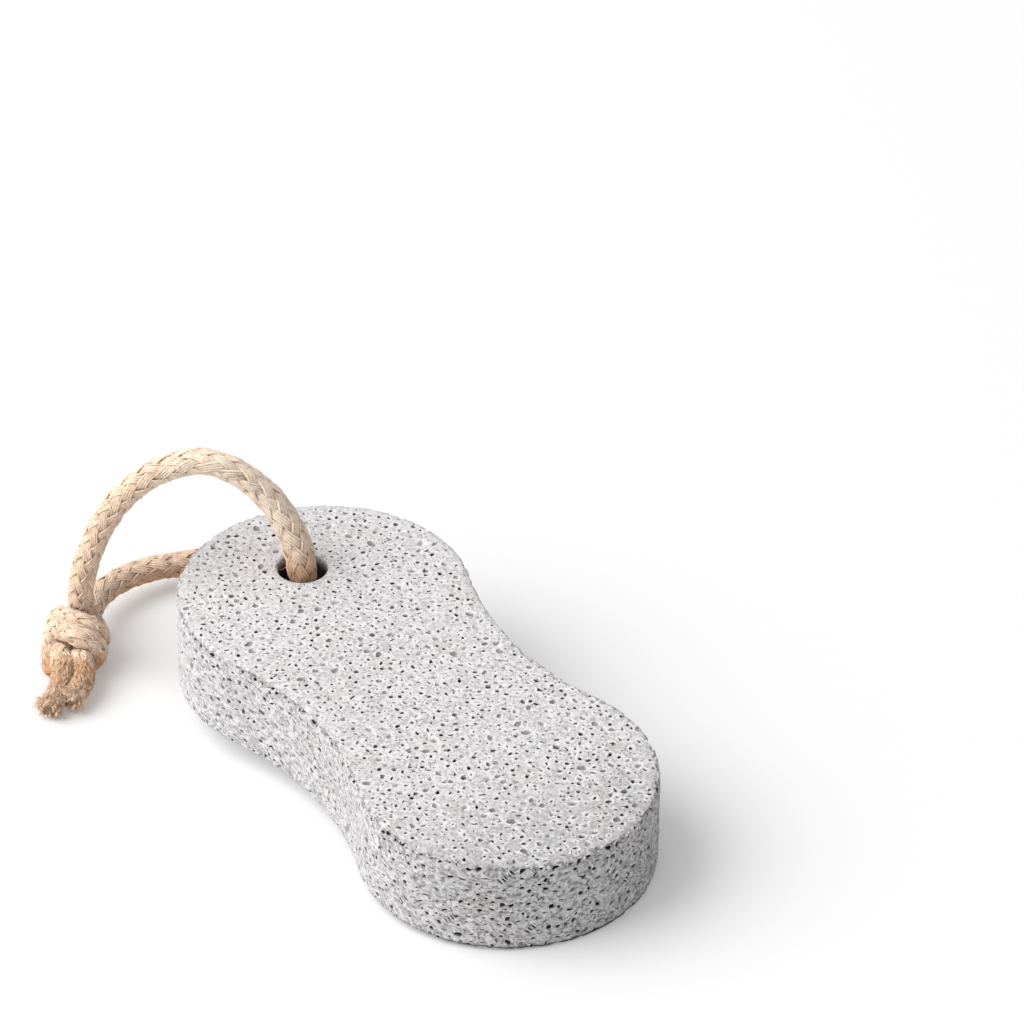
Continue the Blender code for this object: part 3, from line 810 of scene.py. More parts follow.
class Braid:
    """Sixteen flat strands on a line, each over two and under two, laid in columns of chevrons."""

    def __init__(self, shape, line, chance):
        self.line = line
        self.lead = shape.braid_lead / MM
        self.width = shape.strand_width / MM
        self.thickness = shape.strand_thickness / MM
        self.crossing = shape.crossing_height / MM
        self.full_radius = shape.diameter / MM / 2
        # width, height and shade of each strand, and one that is spare
        self.traits = chance.uniform(-1, 1, (2 * CARRIERS, 4))
        outside_loop = np.maximum(line.loop_start - line.along, line.along - line.loop_end)
        tighter = 1 + KNOT_TIGHTNESS * np.clip(outside_loop / KNOT_TIGHTENING, 0, 1)
        # how often a strand has gone round the cord at each point of the line
        self.rounds = np.cumsum(tighter) * (line.along[1] - line.along[0]) / self.lead

    def strand(self, number, picked):
        """Centre, directions across and outward, height of the wave and scale of one strand at points."""
        line = self.line
        turning = 1 if number < CARRIERS else -1
        along = line.along[picked]
        angle = 2 * math.pi * (turning * self.rounds[picked] + (number % CARRIERS) / CARRIERS)
        angle = angle + drift(along, ANGLE_DRIFT, number)
        crossed = angle * CROSSINGS / (2 * math.pi) - 0.5
        wave = turning * np.cos(2 * math.pi * crossed / WAVE_CROSSINGS)
        scale = line.radius[picked] / self.full_radius
        outer = self.full_radius - SUNK_SHARE * self.thickness - self.crossing
        rise = self.crossing * wave * CROSSING_GAIN
        reach = scale * (outer + rise + drift(along, REACH_DRIFT, number))
        outward = line.outward(picked, angle)
        centre = line.place[picked] + outward * reach[:, None]
        ahead = unit(np.gradient(centre, axis=0)) if len(picked) > 1 else line.ahead[picked]
        across = unit(np.cross(ahead, outward))
        outward = np.cross(across, ahead)
        return centre, across, outward, wave, scale

    def tubes(self, picked):
        """Points, faces and shading values of every strand along the picked stretch."""
        points, quads, caps, fibre, crown = [], [], [], [], []
        around = len(PROFILE_X)
        along = self.line.along[picked]
        from_end = np.minimum(along, self.line.along[-1] - along)
        tail_gloom = np.clip((from_end - TAIL_GLOOM) / TAIL_GLOOM_FADE, TAIL_CROWN, 1)
        first = 0
        for number in range(2 * CARRIERS):
            centre, across, outward, wave, scale = self.strand(number, picked)
            trait = self.traits[number]
            wider = 1 + WIDTH_SPREAD * trait[0] + drift(along, WIDTH_DRIFT, number)
            width = self.width / 2 * scale * wider
            height = self.thickness / 2 * scale * (1 + HEIGHT_SPREAD * trait[1])
            ring = (
                centre[:, None]
                + across[:, None] * (PROFILE_X * width[:, None])[:, :, None]
                + outward[:, None] * (PROFILE_Y * height[:, None])[:, :, None]
            )
            rough = FIBRE_RELIEF * fine_relief(along, number)
            ring += outward[:, None] * rough[:, :, None]
            points.append(ring.reshape(-1, 3))
            quads.append(tube_faces(len(picked), around, first))
            caps.append(first + np.arange(around)[::-1][None])
            caps.append(first + (len(picked) - 1) * around + np.arange(around)[None])
            place = np.empty((len(picked), around, 3))
            place[:, :, 0] = along[:, None] * FIBRE_RATE
            place[:, :, 1] = PROFILE_X * self.width / 2 + number * STRAND_APART
            place[:, :, 2] = number + trait[2]
            fibre.append(place.reshape(-1, 3))
            crown.append(((0.5 + 0.5 * wave)[:, None] * PROFILE_SHADE * tail_gloom[:, None]).ravel())
            first += len(picked) * around
        return np.vstack(points), [np.vstack(quads), np.vstack(caps)], np.vstack(fibre), np.concatenate(crown)


LYING_TOP, LYING_FADE = 6.2, 3.2  # height in millimetres under which the cord is darker and browner, and the fade
RISING_FROM, RISING_FADE, RISING_SHARE = -40.0, 8.0, 0.13  # the limb towards the knot, a little darker
ABOVE_HOLE_FROM, ABOVE_HOLE_FADE = -46.0, 6.0  # along the stone, where the limb above the hole begins
TAIL_START, TAIL_FADE, TAIL_SHARE = 2.5, 3.0, 0.95  # from the knot's middle towards the tails
TAIL_END, TAIL_END_FADE, TAIL_END_MOST = 10.0, 2.0, 0.3  # the paler cut ends
PAINTED_LIGHT_FROM, PAINTED_LIGHT_FADE = 23.0, 8.0  # painted light: the limb above the hole is painted paler from this height up
# painted shade: the cord darkens where it goes into the hole's mouth
MOUTH_PLACE, MOUTH_REACH = (-33.5, 0.3), 4.5  # the hole's mouth, seen from above, in millimetres
MOUTH_TOP, MOUTH_FADE, MOUTH_MOST = 25.5, 7.0, 1.3
KNOT_REACH = 20.0  # how far from its middle the knot and its tails reach, in millimetres


def soiled_share(points):
    """How much the cord is darkened at each point, or, below 0, how much painted light makes it paler.

    It is darker where it lies low, towards the knot and at its tails, and darkened by painted shade where it
    goes into the hole."""
    lying = np.clip((LYING_TOP - points[:, 2]) / LYING_FADE, 0, 1)
    at_mouth = np.linalg.norm(points[:, :2] - MOUTH_PLACE, axis=1) < MOUTH_REACH
    entering = at_mouth * np.clip((MOUTH_TOP - points[:, 2]) / MOUTH_FADE, 0, MOUTH_MOST)
    rising = RISING_SHARE * np.clip((RISING_FROM - points[:, 0]) / RISING_FADE, 0, 1)
    from_knot = points - np.array(KNOT_CENTRE)
    past_knot = from_knot @ np.array(KNOT_AXIS)
    near_knot = np.linalg.norm(from_knot, axis=1) < KNOT_REACH
    tails = near_knot * TAIL_SHARE * np.clip((past_knot - TAIL_START) / TAIL_FADE, 0, 1)
    at_ends = tails * np.clip((past_knot - TAIL_END) / TAIL_END_FADE, 0, TAIL_END_MOST)
    tails, lying = tails - at_ends, lying * (1 - at_ends)
    soiled = np.maximum.reduce([lying, entering, rising, tails])
    above_hole = np.clip((points[:, 0] - ABOVE_HOLE_FROM) / ABOVE_HOLE_FADE, 0, 1)
    painted_light = above_hole * np.clip((points[:, 2] - PAINTED_LIGHT_FROM) / PAINTED_LIGHT_FADE, 0, 1)
    return soiled - painted_light


def cord_piece(name, parts, material):
    """One piece of the cord from parts, each (points, face groups, fibre, crown)."""
    points, groups, fibre, crown = [], [], [], []
    first = 0
    for part_points, part_groups, part_fibre, part_crown in parts:
        points.append(part_points)
        groups += [group + first for group in part_groups]
        fibre.append(part_fibre)
        crown.append(part_crown)
        first += len(part_points)
    points = np.vstack(points)
    piece = new_piece(
        name,
        points,
        groups,
        material,
        fibre=np.vstack(fibre),
        crown=np.concatenate(crown),
        soiled=soiled_share(points),
    )
    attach(piece, BODY)
    return piece


CORE_SHORTER = 5  # steps by which the core ends inside the cut strands
CORE_RADIUS = 0.62  # as a share of the cord's
CORE_CROWN = 0.15  # how light the core is between the strands, as a share, so that it takes the seams' painted shade
CORE_SIDES = 12


def core_tube(line, picked):
    """A plain round core, seen only between the strands."""
    around = CORE_SIDES
    angles = 2 * math.pi * np.arange(around) / around
    radius = line.radius[picked] * CORE_RADIUS
    ring = (
        line.place[picked][:, None]
        + line.side[picked][:, None] * (np.cos(angles) * radius[:, None])[:, :, None]
        + line.up[picked][:, None] * (np.sin(angles) * radius[:, None])[:, :, None]
    )
    points = ring.reshape(-1, 3)
    last = (len(picked) - 1) * around
    caps = np.stack([np.arange(around)[::-1], last + np.arange(around)])
    fibre = np.zeros((len(points), 3))
    fibre[:, 0] = np.repeat(line.along[picked], around)
    fibre[:, 1] = np.tile(angles, len(picked))
    return points, [tube_faces(len(picked), around, 0), caps], fibre, np.full(len(points), CORE_CROWN)


# ---- loose fibres ----

LOOP_HAIRS, KNOT_HAIRS = 1500, 620  # stray fibres of the loop, and of each side of the knot
TAIL_YARNS, KNOT_YARNS = 300, 150  # broken yarns of each tail, and of each side of the knot with its tail
TUFT_FIBRES = 1000  # fine fibres of each cut end
TUFT_STEPS = 2  # steps of the line from its end to the place where a tuft begins
FRAY_SEED = 100  # added to the cord's seed, so that the fibres don't follow the draws of the braid
# Stray fibres, broken yarns, and the yarns and fine fibres of the tufts: least and greatest length and
# radius, and how deep in the cord they start, in millimetres
HAIR_LENGTH, HAIR_RADIUS, HAIR_DEPTH = (0.5, 1.9), (0.016, 0.034), 0.12
YARN_LENGTH, YARN_RADIUS, YARN_DEPTH = (0.9, 1.8), (0.15, 0.29), 0.30
BLUNT_LENGTH, BLUNT_RADIUS, BLUNT_DEPTH = (1.0, 1.8), (0.20, 0.30), 0.8
FINE_LENGTH, FINE_RADIUS, FINE_DEPTH = (0.5, 1.6), (0.025, 0.055), 0.5
HAIR_LIFT, YARN_LIFT = (0.05, 0.55), (0.45, 1.0)  # outward, as a share of the way along the cord
HAIR_SLANT, YARN_SLANT = 0.46, 0.8  # round the cord, as a share of the way along it
YARN_SIDES, YARN_TIP, BLUNT_TIP = 6, 0.8, 0.75  # the tips as shares of the radius
TUFT_FLARE = (-0.1, 0.35)  # how far the cut yarns splay
TUFT_SHIFTS = (-0.32, 0.0, 0.32)  # places of the three yarns of a cut strand, as shares of its width
HAIR_CLEARANCE = 0.02  # between a fibre and the surface that carries the stone, in millimetres


def clipped_normal(chance, size):
    """Normal random values without the rare large ones."""
    return np.clip(chance.normal(size=size), -1, 1)


def hairs(starts, heads, lengths, radii, bends, chance, sides=3, pieces=5, tip=0.28):
    """Thin tubes from their starts, bending sideways and tapering to a share of their radius."""
    count = len(starts)
    share = np.linspace(0, 1, pieces + 1)
    line = (
        starts[:, None]
        + heads[:, None] * (share[None, :] * lengths[:, None])[:, :, None]
        + bends[:, None] * (share[None, :] ** 2 * lengths[:, None])[:, :, None]
    )
    line[..., 2] = np.maximum(line[..., 2], radii[:, None] + HAIR_CLEARANCE)
    ahead = unit(np.gradient(line, axis=1))
    side = unit(np.cross(ahead, chance.normal(size=(count, 1, 3))))
    up = np.cross(ahead, side)
    taper = np.sqrt(1 - (1 - tip**2) * share)
    turn = 2 * math.pi * np.arange(sides) / sides
    spread = radii[:, None] * taper[None, :]
    rings = (
        line[:, :, None]
        + side[:, :, None] * (spread[:, :, None] * np.cos(turn))[..., None]
        + up[:, :, None] * (spread[:, :, None] * np.sin(turn))[..., None]
    )
    points = rings.reshape(-1, 3)
    per_hair = (pieces + 1) * sides
    quads = tube_faces(pieces + 1, sides, 0)
    quads = (np.arange(count)[:, None, None] * per_hair + quads[None]).reshape(-1, 4)
    caps = np.stack([np.arange(sides)[::-1], per_hair - sides + np.arange(sides)])
    caps = (np.arange(count)[:, None, None] * per_hair + caps[None]).reshape(-1, sides)
    fibre = np.zeros((count, pieces + 1, sides, 3))
    fibre[..., 0] = (share[None, :] * lengths[:, None])[..., None]
    # a place of its own among the streaks for each fibre
    fibre[..., 1] = chance.uniform(0, 60, (count, 1, 1))
    fibre[..., 2] = chance.uniform(0, 9, (count, 1, 1))
    return points, [quads, caps], fibre.reshape(-1, 3), np.ones(len(points))


def roots(line, picked, count, chance):
    """Random points of a stretch, with directions outward, forward or back, and round the cord."""
    at = chance.choice(picked[2:-2], count)
    outward = line.outward(at, chance.uniform(0, 2 * math.pi, count))
    onward = line.ahead[at] * chance.choice((-1.0, 1.0), count)[:, None]
    return at, outward, onward, np.cross(line.ahead[at], outward)


def surface_hairs(line, picked, count, chance):
    """Stray fibres that lift from the strands along a stretch of the cord."""
    at, outward, onward, round_about = roots(line, picked, count, chance)
    lay = unit(onward + HAIR_SLANT * round_about)
    starts = line.place[at] + outward * (line.radius[at] - HAIR_DEPTH)[:, None]
    lift = chance.uniform(*HAIR_LIFT, count) ** 1.3
    heads = unit(lay + outward * lift[:, None])
    bends = outward * chance.uniform(-0.1, 0.35, count)[:, None] + 0.3 * chance.normal(size=(count, 3))
    lengths = chance.uniform(*HAIR_LENGTH, count)
    return hairs(starts, heads, lengths, chance.uniform(*HAIR_RADIUS, count), bends, chance)


def cut_end_tufts(braid, at, facing, chance):
    """The cut strands of one tail: blunt yarn ends, a little splayed, and finer fibres among them."""
    line = braid.line
    starts, heads = [], []
    for number in range(2 * CARRIERS):
        centre, across, outward, _, _ = braid.strand(number, np.array([at - 1, at, at + 1]))
        for shift in TUFT_SHIFTS:
            starts.append(centre[1] + across[1] * shift * braid.width + outward[1] * 0.05)
            flare = outward[1] * chance.uniform(*TUFT_FLARE)
            heads.append(facing + flare + 0.2 * clipped_normal(chance, 3))
    starts, heads = np.array(starts), unit(np.array(heads))
    count = len(starts)
    lengths, radii = chance.uniform(*BLUNT_LENGTH, count), chance.uniform(*BLUNT_RADIUS, count)
    bends = 0.3 * clipped_normal(chance, (count, 3))
    starts = starts - facing * BLUNT_DEPTH
    yarns = hairs(starts, heads, lengths, radii, bends, chance, sides=YARN_SIDES, tip=BLUNT_TIP)
    many = TUFT_FIBRES
    outward = line.outward(at, chance.uniform(0, 2 * math.pi, many))
    reach = line.radius[at] * np.sqrt(chance.uniform(0.02, 1.0, many))
    starts = line.place[at] - facing * FINE_DEPTH + outward * reach[:, None]
    spread = (reach / line.radius[at])[:, None] * outward
    heads = unit(facing + 0.5 * spread + 0.45 * chance.normal(size=(many, 3)))
    lengths, radii = chance.uniform(*FINE_LENGTH, many), chance.uniform(*FINE_RADIUS, many)
    bends = 0.5 * chance.normal(size=(many, 3))
    return [yarns, hairs(starts, heads, lengths, radii, bends, chance)]


def broken_yarns(line, picked, count, chance):
    """Short loops of yarn worked loose, which rise from the cord and dive back into it."""
    at, outward, onward, round_about = roots(line, picked, count, chance)
    lay = unit(onward + chance.uniform(-YARN_SLANT, YARN_SLANT, count)[:, None] * round_about)
    starts = line.place[at] + outward * (line.radius[at] - YARN_DEPTH)[:, None]
    lift = chance.uniform(*YARN_LIFT, count)
    heads = unit(lay + outward * lift[:, None])
    bends = -outward * (lift + 0.1)[:, None] + 0.25 * clipped_normal(chance, (count, 3))
    lengths, radii = chance.uniform(*YARN_LENGTH, count), chance.uniform(*YARN_RADIUS, count)
    return hairs(starts, heads, lengths, radii, bends, chance, sides=YARN_SIDES, tip=YARN_TIP)


# ---- outline of the stone ----

HOLLOW_RANGE = (1.0, 5000.0)  # radii between which the hollow of the waist is sought, in millimetres
HALVINGS = 80  # steps of that search


class Outline:
    """The slab's outline in millimetres: two lobes joined by two hollow arcs, from start round to start."""

    def __init__(self, shape):
        self.length = shape.length / MM
        self.hole_lobe = shape.hole_lobe_radius / MM
        self.plain_lobe = shape.plain_lobe_radius / MM
        span = self.length - self.hole_lobe - self.plain_lobe
        self.hole_x, self.plain_x = -span / 2, span / 2
        waist = shape.waist_half_width / MM
        self.hollow_radius = self.touching_radius(span, waist)
        total = self.hole_lobe + self.plain_lobe + 2 * self.hollow_radius
        hollow_x = (self.hole_lobe - self.plain_lobe) * total / (2 * span)
        hollow_y = waist + self.hollow_radius
        hole_angle = math.atan2(hollow_y, hollow_x - self.hole_x)
        plain_angle = math.atan2(hollow_y, hollow_x - self.plain_x)
        half = math.pi
        # centre x, centre y, radius, start angle, end angle, and 1 for a bulge or -1 for a hollow
        self.arcs = (
            (self.plain_x, 0.0, self.plain_lobe, -plain_angle, plain_angle, 1),
            (hollow_x, hollow_y, self.hollow_radius, plain_angle - half, hole_angle - half, -1),
            (self.hole_x, 0.0, self.hole_lobe, hole_angle, 2 * half - hole_angle, 1),
            (hollow_x, -hollow_y, self.hollow_radius, half - hole_angle, half - plain_angle, -1),
        )
        self.lengths = np.array([abs(end - start) * radius for _, _, radius, start, end, _ in self.arcs])
        self.total = self.lengths.sum()

    def touching_radius(self, span, waist):
        """Radius of the hollow that touches both lobes and leaves the waist its width."""
        low, high = HOLLOW_RANGE
        for _ in range(HALVINGS):
            radius = (low + high) / 2
            total = self.hole_lobe + self.plain_lobe + 2 * radius
            x = (self.hole_lobe - self.plain_lobe) * total / (2 * span)
            if math.hypot(x - self.hole_x, waist + radius) > self.hole_lobe + radius:
                low = radius
            else:
                high = radius
        return radius

    def at(self, distances):
        """Places on the outline and its outward directions, at distances round it."""
        distances = np.mod(distances, self.total)
        ends = np.cumsum(self.lengths)
        which = np.minimum(np.searchsorted(ends, distances, side="right"), 3)
        place, out = np.empty((len(distances), 2)), np.empty((len(distances), 2))
        for number, (x, y, radius, start, end, bulge) in enumerate(self.arcs):
            here = which == number
            share = (distances[here] - (ends[number] - self.lengths[number])) / self.lengths[number]
            angle = start + (end - start) * share
            ray = np.column_stack([np.cos(angle), np.sin(angle)])
            place[here] = (x, y) + radius * ray
            out[here] = bulge * ray
        return place, out


CHUNK = 500  # points worked out at a time, so that the tables of distances stay small


def distance_to_ring(points, ring):
    """Distance from each point to the nearest corner of a ring."""
    return np.concatenate([
        np.linalg.norm(some[:, None] - ring[None], axis=2).min(axis=1)
        for some in np.array_split(points, len(points) // CHUNK + 1)
    ])


def ring_contains(ring, points):
    """Whether each point lies inside a closed ring of corners."""
    (ax, ay), (bx, by) = ring.T, np.roll(ring, -1, axis=0).T
    level = by == ay
    inside = []
    for some in np.array_split(points, len(points) // CHUNK + 1):
        x, y = some[:, :1], some[:, 1:]
        crosses = (ay > y) != (by > y)
        right = x < ax + (y - ay) * (bx - ax) / (by - ay + level)
        inside.append((crosses & right).sum(axis=1) % 2 == 1)
    return np.concatenate(inside)


# ---- pores ----

# Pores of one kind: number for each square centimetre, least and greatest radius in millimetres, length as a
# multiple of the width, depth as a multiple of the radius, darkness of the floor as painted shade, corners,
# and whether the walls are steep.
PoreKind = namedtuple("PoreKind", "per_cm2 radius stretch depth_ratio darkness corners walled")
FACE_PORES = (
    PoreKind(0.9, (0.40, 0.56), (1.0, 1.3), (0.8, 1.1), 0.66, 9, True),
    PoreKind(2.6, (0.40, 0.66), (1.0, 1.7), (0.35, 0.5), 0.52, 10, True),
    PoreKind(2.4, (0.40, 0.70), (1.0, 1.7), (0.25, 0.4), 0.48, 8, False),
    PoreKind(14.0, (0.24, 0.39), (1.0, 1.7), (1.2, 1.7), 1.00, 7, True),
    PoreKind(6.0, (0.20, 0.27), (1.9, 3.2), (1.0, 1.4), 0.85, 7, True),
    PoreKind(32.0, (0.20, 0.42), (1.0, 2.2), (0.45, 0.75), 0.62, 6, False),
)
WALL_PORES = (
    PoreKind(0.8, (0.40, 0.56), (1.0, 1.4), (0.8, 1.1), 0.75, 9, True),
    PoreKind(3.5, (0.42, 0.74), (1.1, 1.8), (0.25, 0.4), 0.52, 8, False),
    PoreKind(7.0, (0.27, 0.42), (1.0, 1.6), (1.2, 1.7), 1.00, 7, True),
    PoreKind(11.0, (0.17, 0.27), (2.4, 4.6), (1.2, 1.8), 1.00, 8, True),
    PoreKind(12.0, (0.15, 0.25), (2.4, 4.6), (0.6, 1.0), 0.70, 8, False),
    PoreKind(8.0, (0.22, 0.42), (1.0, 1.9), (0.5, 0.8), 0.60, 6, False),
)
EDGE_PORES = (
    PoreKind(55.0, (0.28, 0.50), (1.0, 1.7), (0.9, 1.4), 0.95, 7, True),
    PoreKind(50.0, (0.20, 0.38), (1.0, 1.8), (0.5, 0.8), 0.62, 6, False),
)
ROUGH_PORES = (
    PoreKind(4.0, (0.30, 0.46), (1.0, 1.6), (1.0, 1.4), 1.00, 8, True),
    PoreKind(8.0, (0.20, 0.40), (1.0, 2.0), (0.6, 1.0), 0.80, 6, False),
    PoreKind(9.0, (0.16, 0.24), (2.4, 4.2), (0.8, 1.2), 0.95, 8, True),
)
FOOT_PORES = (
    PoreKind(9.0, (0.24, 0.40), (1.0, 1.8), (1.0, 1.4), 1.00, 7, True),
    PoreKind(14.0, (0.16, 0.25), (2.0, 4.0), (0.8, 1.2), 0.95, 8, True),
)
EDGE_BAND = (0.25, 1.1)  # where the pores of the edge lie: from and to, in millimetres down from the top
FOOT_BAND = (2.2, 0.6)  # where the pores of the foot lie: from and to, in millimetres up from the underside
ROUGH_MARGIN = 1.0  # between the pores of the rough lobe and the wall's edges, in millimetres
COMB_SLIT = PoreKind(0.8, (0.20, 0.26), (3.2, 4.2), (1.2, 1.8), 1.00, 7, True)
COMB_STEP = 0.62  # between the slits of a comb, in millimetres
COMB_TURN = 0.8  # the slant of a comb's slits on the wall
COMB_COUNT = (3, 6)  # least number of slits in a comb, and the first that is too many
COMB_SHAKE, COMB_TURN_SPREAD = 0.06, 0.1  # how far slits stray, in millimetres and in angle
MM2_IN_CM2 = 100
TRIES = 12  # spots tried for each pore
CORNER_REACH = (0.74, 1.18)  # least and greatest distance of a pore's corners, as a share of its radius
CORNER_SHAKE, FLOOR_SHAKE = 0.2, 0.1  # how far its corners and its floor stray, as shares
PORE_MARGIN, PORE_GAP = 0.2, 0.08  # least distance from a pore to an edge and to another pore
# The rings of a pore, as shares of its size, depth and darkness: rim, foot of the steep wall, and floor
RIM_DARKNESS = 0.12
STEEP_SIZE, STEEP_DEPTH, STEEP_DARKNESS = 0.86, 0.62, 0.85
FLOOR_SIZE = 0.45


class PoreField:
    """Pores scattered on a flat sheet of surface, as rings of points with a depth and a darkness, the painted
    shade of the pore.
    """

    def __init__(self, low, high, allowed, slant, chance):
        self.low, self.high = np.array(low), np.array(high)
        self.allowed = allowed
        self.slant = slant  # gives the direction of the long axis at a spot
        self.chance = chance
        self.centres = np.empty((0, 2))
        self.reaches = np.empty(0)
        self.rings = []  # (points, depth, darkness, closed ring of edges)

    def scatter(self, kinds, density, low=None, high=None):
        """Pores of each kind over the sheet, or over its part from low to high."""
        low = self.low if low is None else np.array(low)
        high = self.high if high is None else np.array(high)
        for kind in kinds:
            area = np.prod(high - low) / MM2_IN_CM2
            for _ in range(round(area * kind.per_cm2 * density)):
                self.try_pore(kind, low, high)

    def try_pore(self, kind, low, high):
        """One pore at a free spot, or none if the spots tried lie outside the sheet or on other pores."""
        chance = self.chance
        spread = kind.radius[1] - kind.radius[0]
        radius = kind.radius[0] + spread * chance.uniform() ** 1.3
        stretch = chance.uniform(*kind.stretch)
        reach = radius * stretch
        for _ in range(TRIES):
            spot = chance.uniform(low, high)
            if not self.allowed(spot, 0.0):
                return
            if not self.allowed(spot, reach + PORE_MARGIN):
                continue
            gaps = np.linalg.norm(self.centres - spot, axis=1) - self.reaches
            if len(gaps) == 0 or gaps.min() > reach + PORE_GAP:
                self.add(kind, spot, radius, stretch)
                return

    def combs(self, kind, density):
        """Rows of three to five slits, side by side, as a coarse saw leaves them."""
        chance = self.chance
        area = np.prod(self.high - self.low) / MM2_IN_CM2
        step = COMB_STEP * np.array([-math.sin(COMB_TURN), math.cos(COMB_TURN)])
        for _ in range(round(area * kind.per_cm2 * density)):
            start = chance.uniform(self.low, self.high)
            for number in range(chance.integers(*COMB_COUNT)):
                spot = start + step * number + chance.uniform(-COMB_SHAKE, COMB_SHAKE, 2)
                if self.allowed(spot, kind.radius[1] * kind.stretch[1]):
                    turn = COMB_TURN + chance.uniform(-COMB_TURN_SPREAD, COMB_TURN_SPREAD)
                    self.add(kind, spot, chance.uniform(*kind.radius), chance.uniform(*kind.stretch), turn)

    def add(self, kind, spot, radius, stretch, turn=None):
        """The rings of one pore, with uneven corners."""
        chance = self.chance
        count = kind.corners
        strayed = np.arange(count) + chance.uniform(-CORNER_SHAKE, CORNER_SHAKE, count)
        angles = 2 * math.pi * strayed / count
        ring = np.column_stack([np.cos(angles) * stretch, np.sin(angles)]) / stretch**0.25
        ring *= (radius * chance.uniform(*CORNER_REACH, count))[:, None]
        turn = self.slant(spot) if turn is None else turn
        ring = ring @ np.array([[math.cos(turn), math.sin(turn)], [-math.sin(turn), math.cos(turn)]])
        aside = chance.uniform(-FLOOR_SHAKE, FLOOR_SHAKE, 2) * radius
        depth = radius * chance.uniform(*kind.depth_ratio)
        self.rings.append((spot + ring, 0.0, RIM_DARKNESS * kind.darkness, True))
        if kind.walled:
            foot, foot_darkness = spot + aside + ring * STEEP_SIZE, STEEP_DARKNESS * kind.darkness
            self.rings.append((foot, depth * STEEP_DEPTH, foot_darkness, True))
        self.rings.append((spot + aside + ring[::2] * FLOOR_SIZE, depth, kind.darkness, False))
        self.centres = np.vstack([self.centres, spot])
        # half the length, and a little more for the corners that stand out
        self.reaches = np.append(self.reaches, radius * stretch**0.75 * 1.1)

    def clear_of_pores(self, points, margin):
        """The points that lie at least a margin away from every pore."""
        keep = np.ones(len(points), bool)
        for centre, reach in zip(self.centres, self.reaches):
            near = np.nonzero(np.abs(points - centre).max(1) < reach + margin)[0]
            inside = np.linalg.norm(points[near] - centre, axis=1) < reach + margin
            keep[near[inside]] = False
        return points[keep]


GRID_SHAKE = 0.28  # how far the points of a grid stray, as a share of its step
SAME_POINT = 1e-5  # distance in millimetres under which two points are one


def loose_grid(low, high, step, chance):
    """Points about one step apart over a rectangle, shaken out of their rows."""
    row_step = step * 0.87  # rows of nearly even triangles
    x, y = np.meshgrid(np.arange(low[0], high[0], step), np.arange(low[1], high[1], row_step))
    x[1::2] += step / 2
    points = np.column_stack([x.ravel(), y.ravel()])
    return points + chance.uniform(-GRID_SHAKE, GRID_SHAKE, points.shape) * step


def triangulated(borders, pores, fillers):
    """Triangles over a sheet: returns points, triangles, depth and darkness of each point.

    borders are closed rings, fillers are free points."""
    points, edges, depth, darkness = [], [], [], []
    first = 0

    def take(ring, closed, ring_depth, ring_darkness):
        """Adds a ring or a set of points, and its edges if it is closed."""
        nonlocal first
        count = len(ring)
        points.append(ring)
        depth.append(np.full(count, ring_depth))
        darkness.append(np.full(count, ring_darkness))
        if closed:
            edges.extend((first + k, first + (k + 1) % count) for k in range(count))
        first += count

    for ring in borders:
        take(ring, True, 0.0, 0.0)
    for ring, ring_depth, ring_darkness, closed in pores.rings:
        take(ring, closed, ring_depth, ring_darkness)
    take(fillers, False, 0.0, 0.0)
    flat = np.vstack(points)
    coordinates = [Vector(point) for point in flat]
    made, _, triangles, sources, *_ = delaunay_2d_cdt(coordinates, edges, [], 1, SAME_POINT, True)
    depth, darkness = np.concatenate(depth), np.concatenate(darkness)
    source = np.array([origin[0] if origin else -1 for origin in sources])
    known = source >= 0
    out_depth = np.where(known, depth[source], 0.0)
    out_dark = np.where(known, darkness[source], 0.0)
    flat, triangles = np.array([tuple(point) for point in made]), np.array(triangles)
    triangles = triangles[ring_contains(borders[0], flat[triangles].mean(1))]
    return flat, triangles, out_depth, out_dark


# ---- surface of the stone ----

BORDER_STEP = 0.55  # between the points of the edges, in millimetres
FACE_HALF_WIDTH = 24.0  # of the sheet that the faces are cut from, a little wider than the stone
HOLE_INSET = 0.3  # of the free points of a face from the hole, in millimetres
FACE_CLEARANCE, WALL_CLEARANCE = 0.12, 0.1  # between a pore and the free points round it, in millimetres
WALL_INSET, WALL_STEP = 0.3, 0.62  # of the free points of the wall: from its edges, and between them
BAND_STEP = 0.45  # between the points along the rounded edges, in millimetres
SAME_END = 1e-6  # distance in millimetres within which a point lies at the unrolled wall's end
OVER_TOP, ABOVE_FOOT = 0.17, 0.1  # how far pores may pass the upper edge, and stay above the foot
SLANT_RATES = (0.07, 0.05)  # how fast the slant of the wall's pores changes round the stone and down
SLANT_SWING, SLANT_SPREAD = 0.9, 0.4  # how far that slant goes, and how far single pores differ from it
HOLE_STEPS, RIM_STEPS, BORE_STEPS = 64, 5, 24  # points round the hole, over each of its rims, and down it
BORE_SHADE, BORE_FADE = 0.75, 2.2  # how dark the painted shade of the bore is, and over how many millimetres it gets so
ROUGH_LEAST, ROUGH_GAIN = 0.5, 0.9  # the wall's relief at its smooth end, and what its rough end adds
CALM_FOOT, CALM_FADE = 0.5, 1.5  # the wall's relief ends this far above its foot, after fading
GRAIN_NOISE = ((1.15, 0.6), (2.6, 0.4))  # two layers of fine unevenness: how fast they change, and shares
# Saw marks and lumps of the wall: how fast they change, their slant or shift, and their share of the relief
MARK_ALONG, MARK_ACROSS, MARK_SLANT, MARK_SHARE = 0.55, 1.05, 0.6, 0.7
LUMP_RATE, LUMP_SHIFT, LUMP_SHARE = 0.85, (8.1, 3.3, 2.9), 0.8
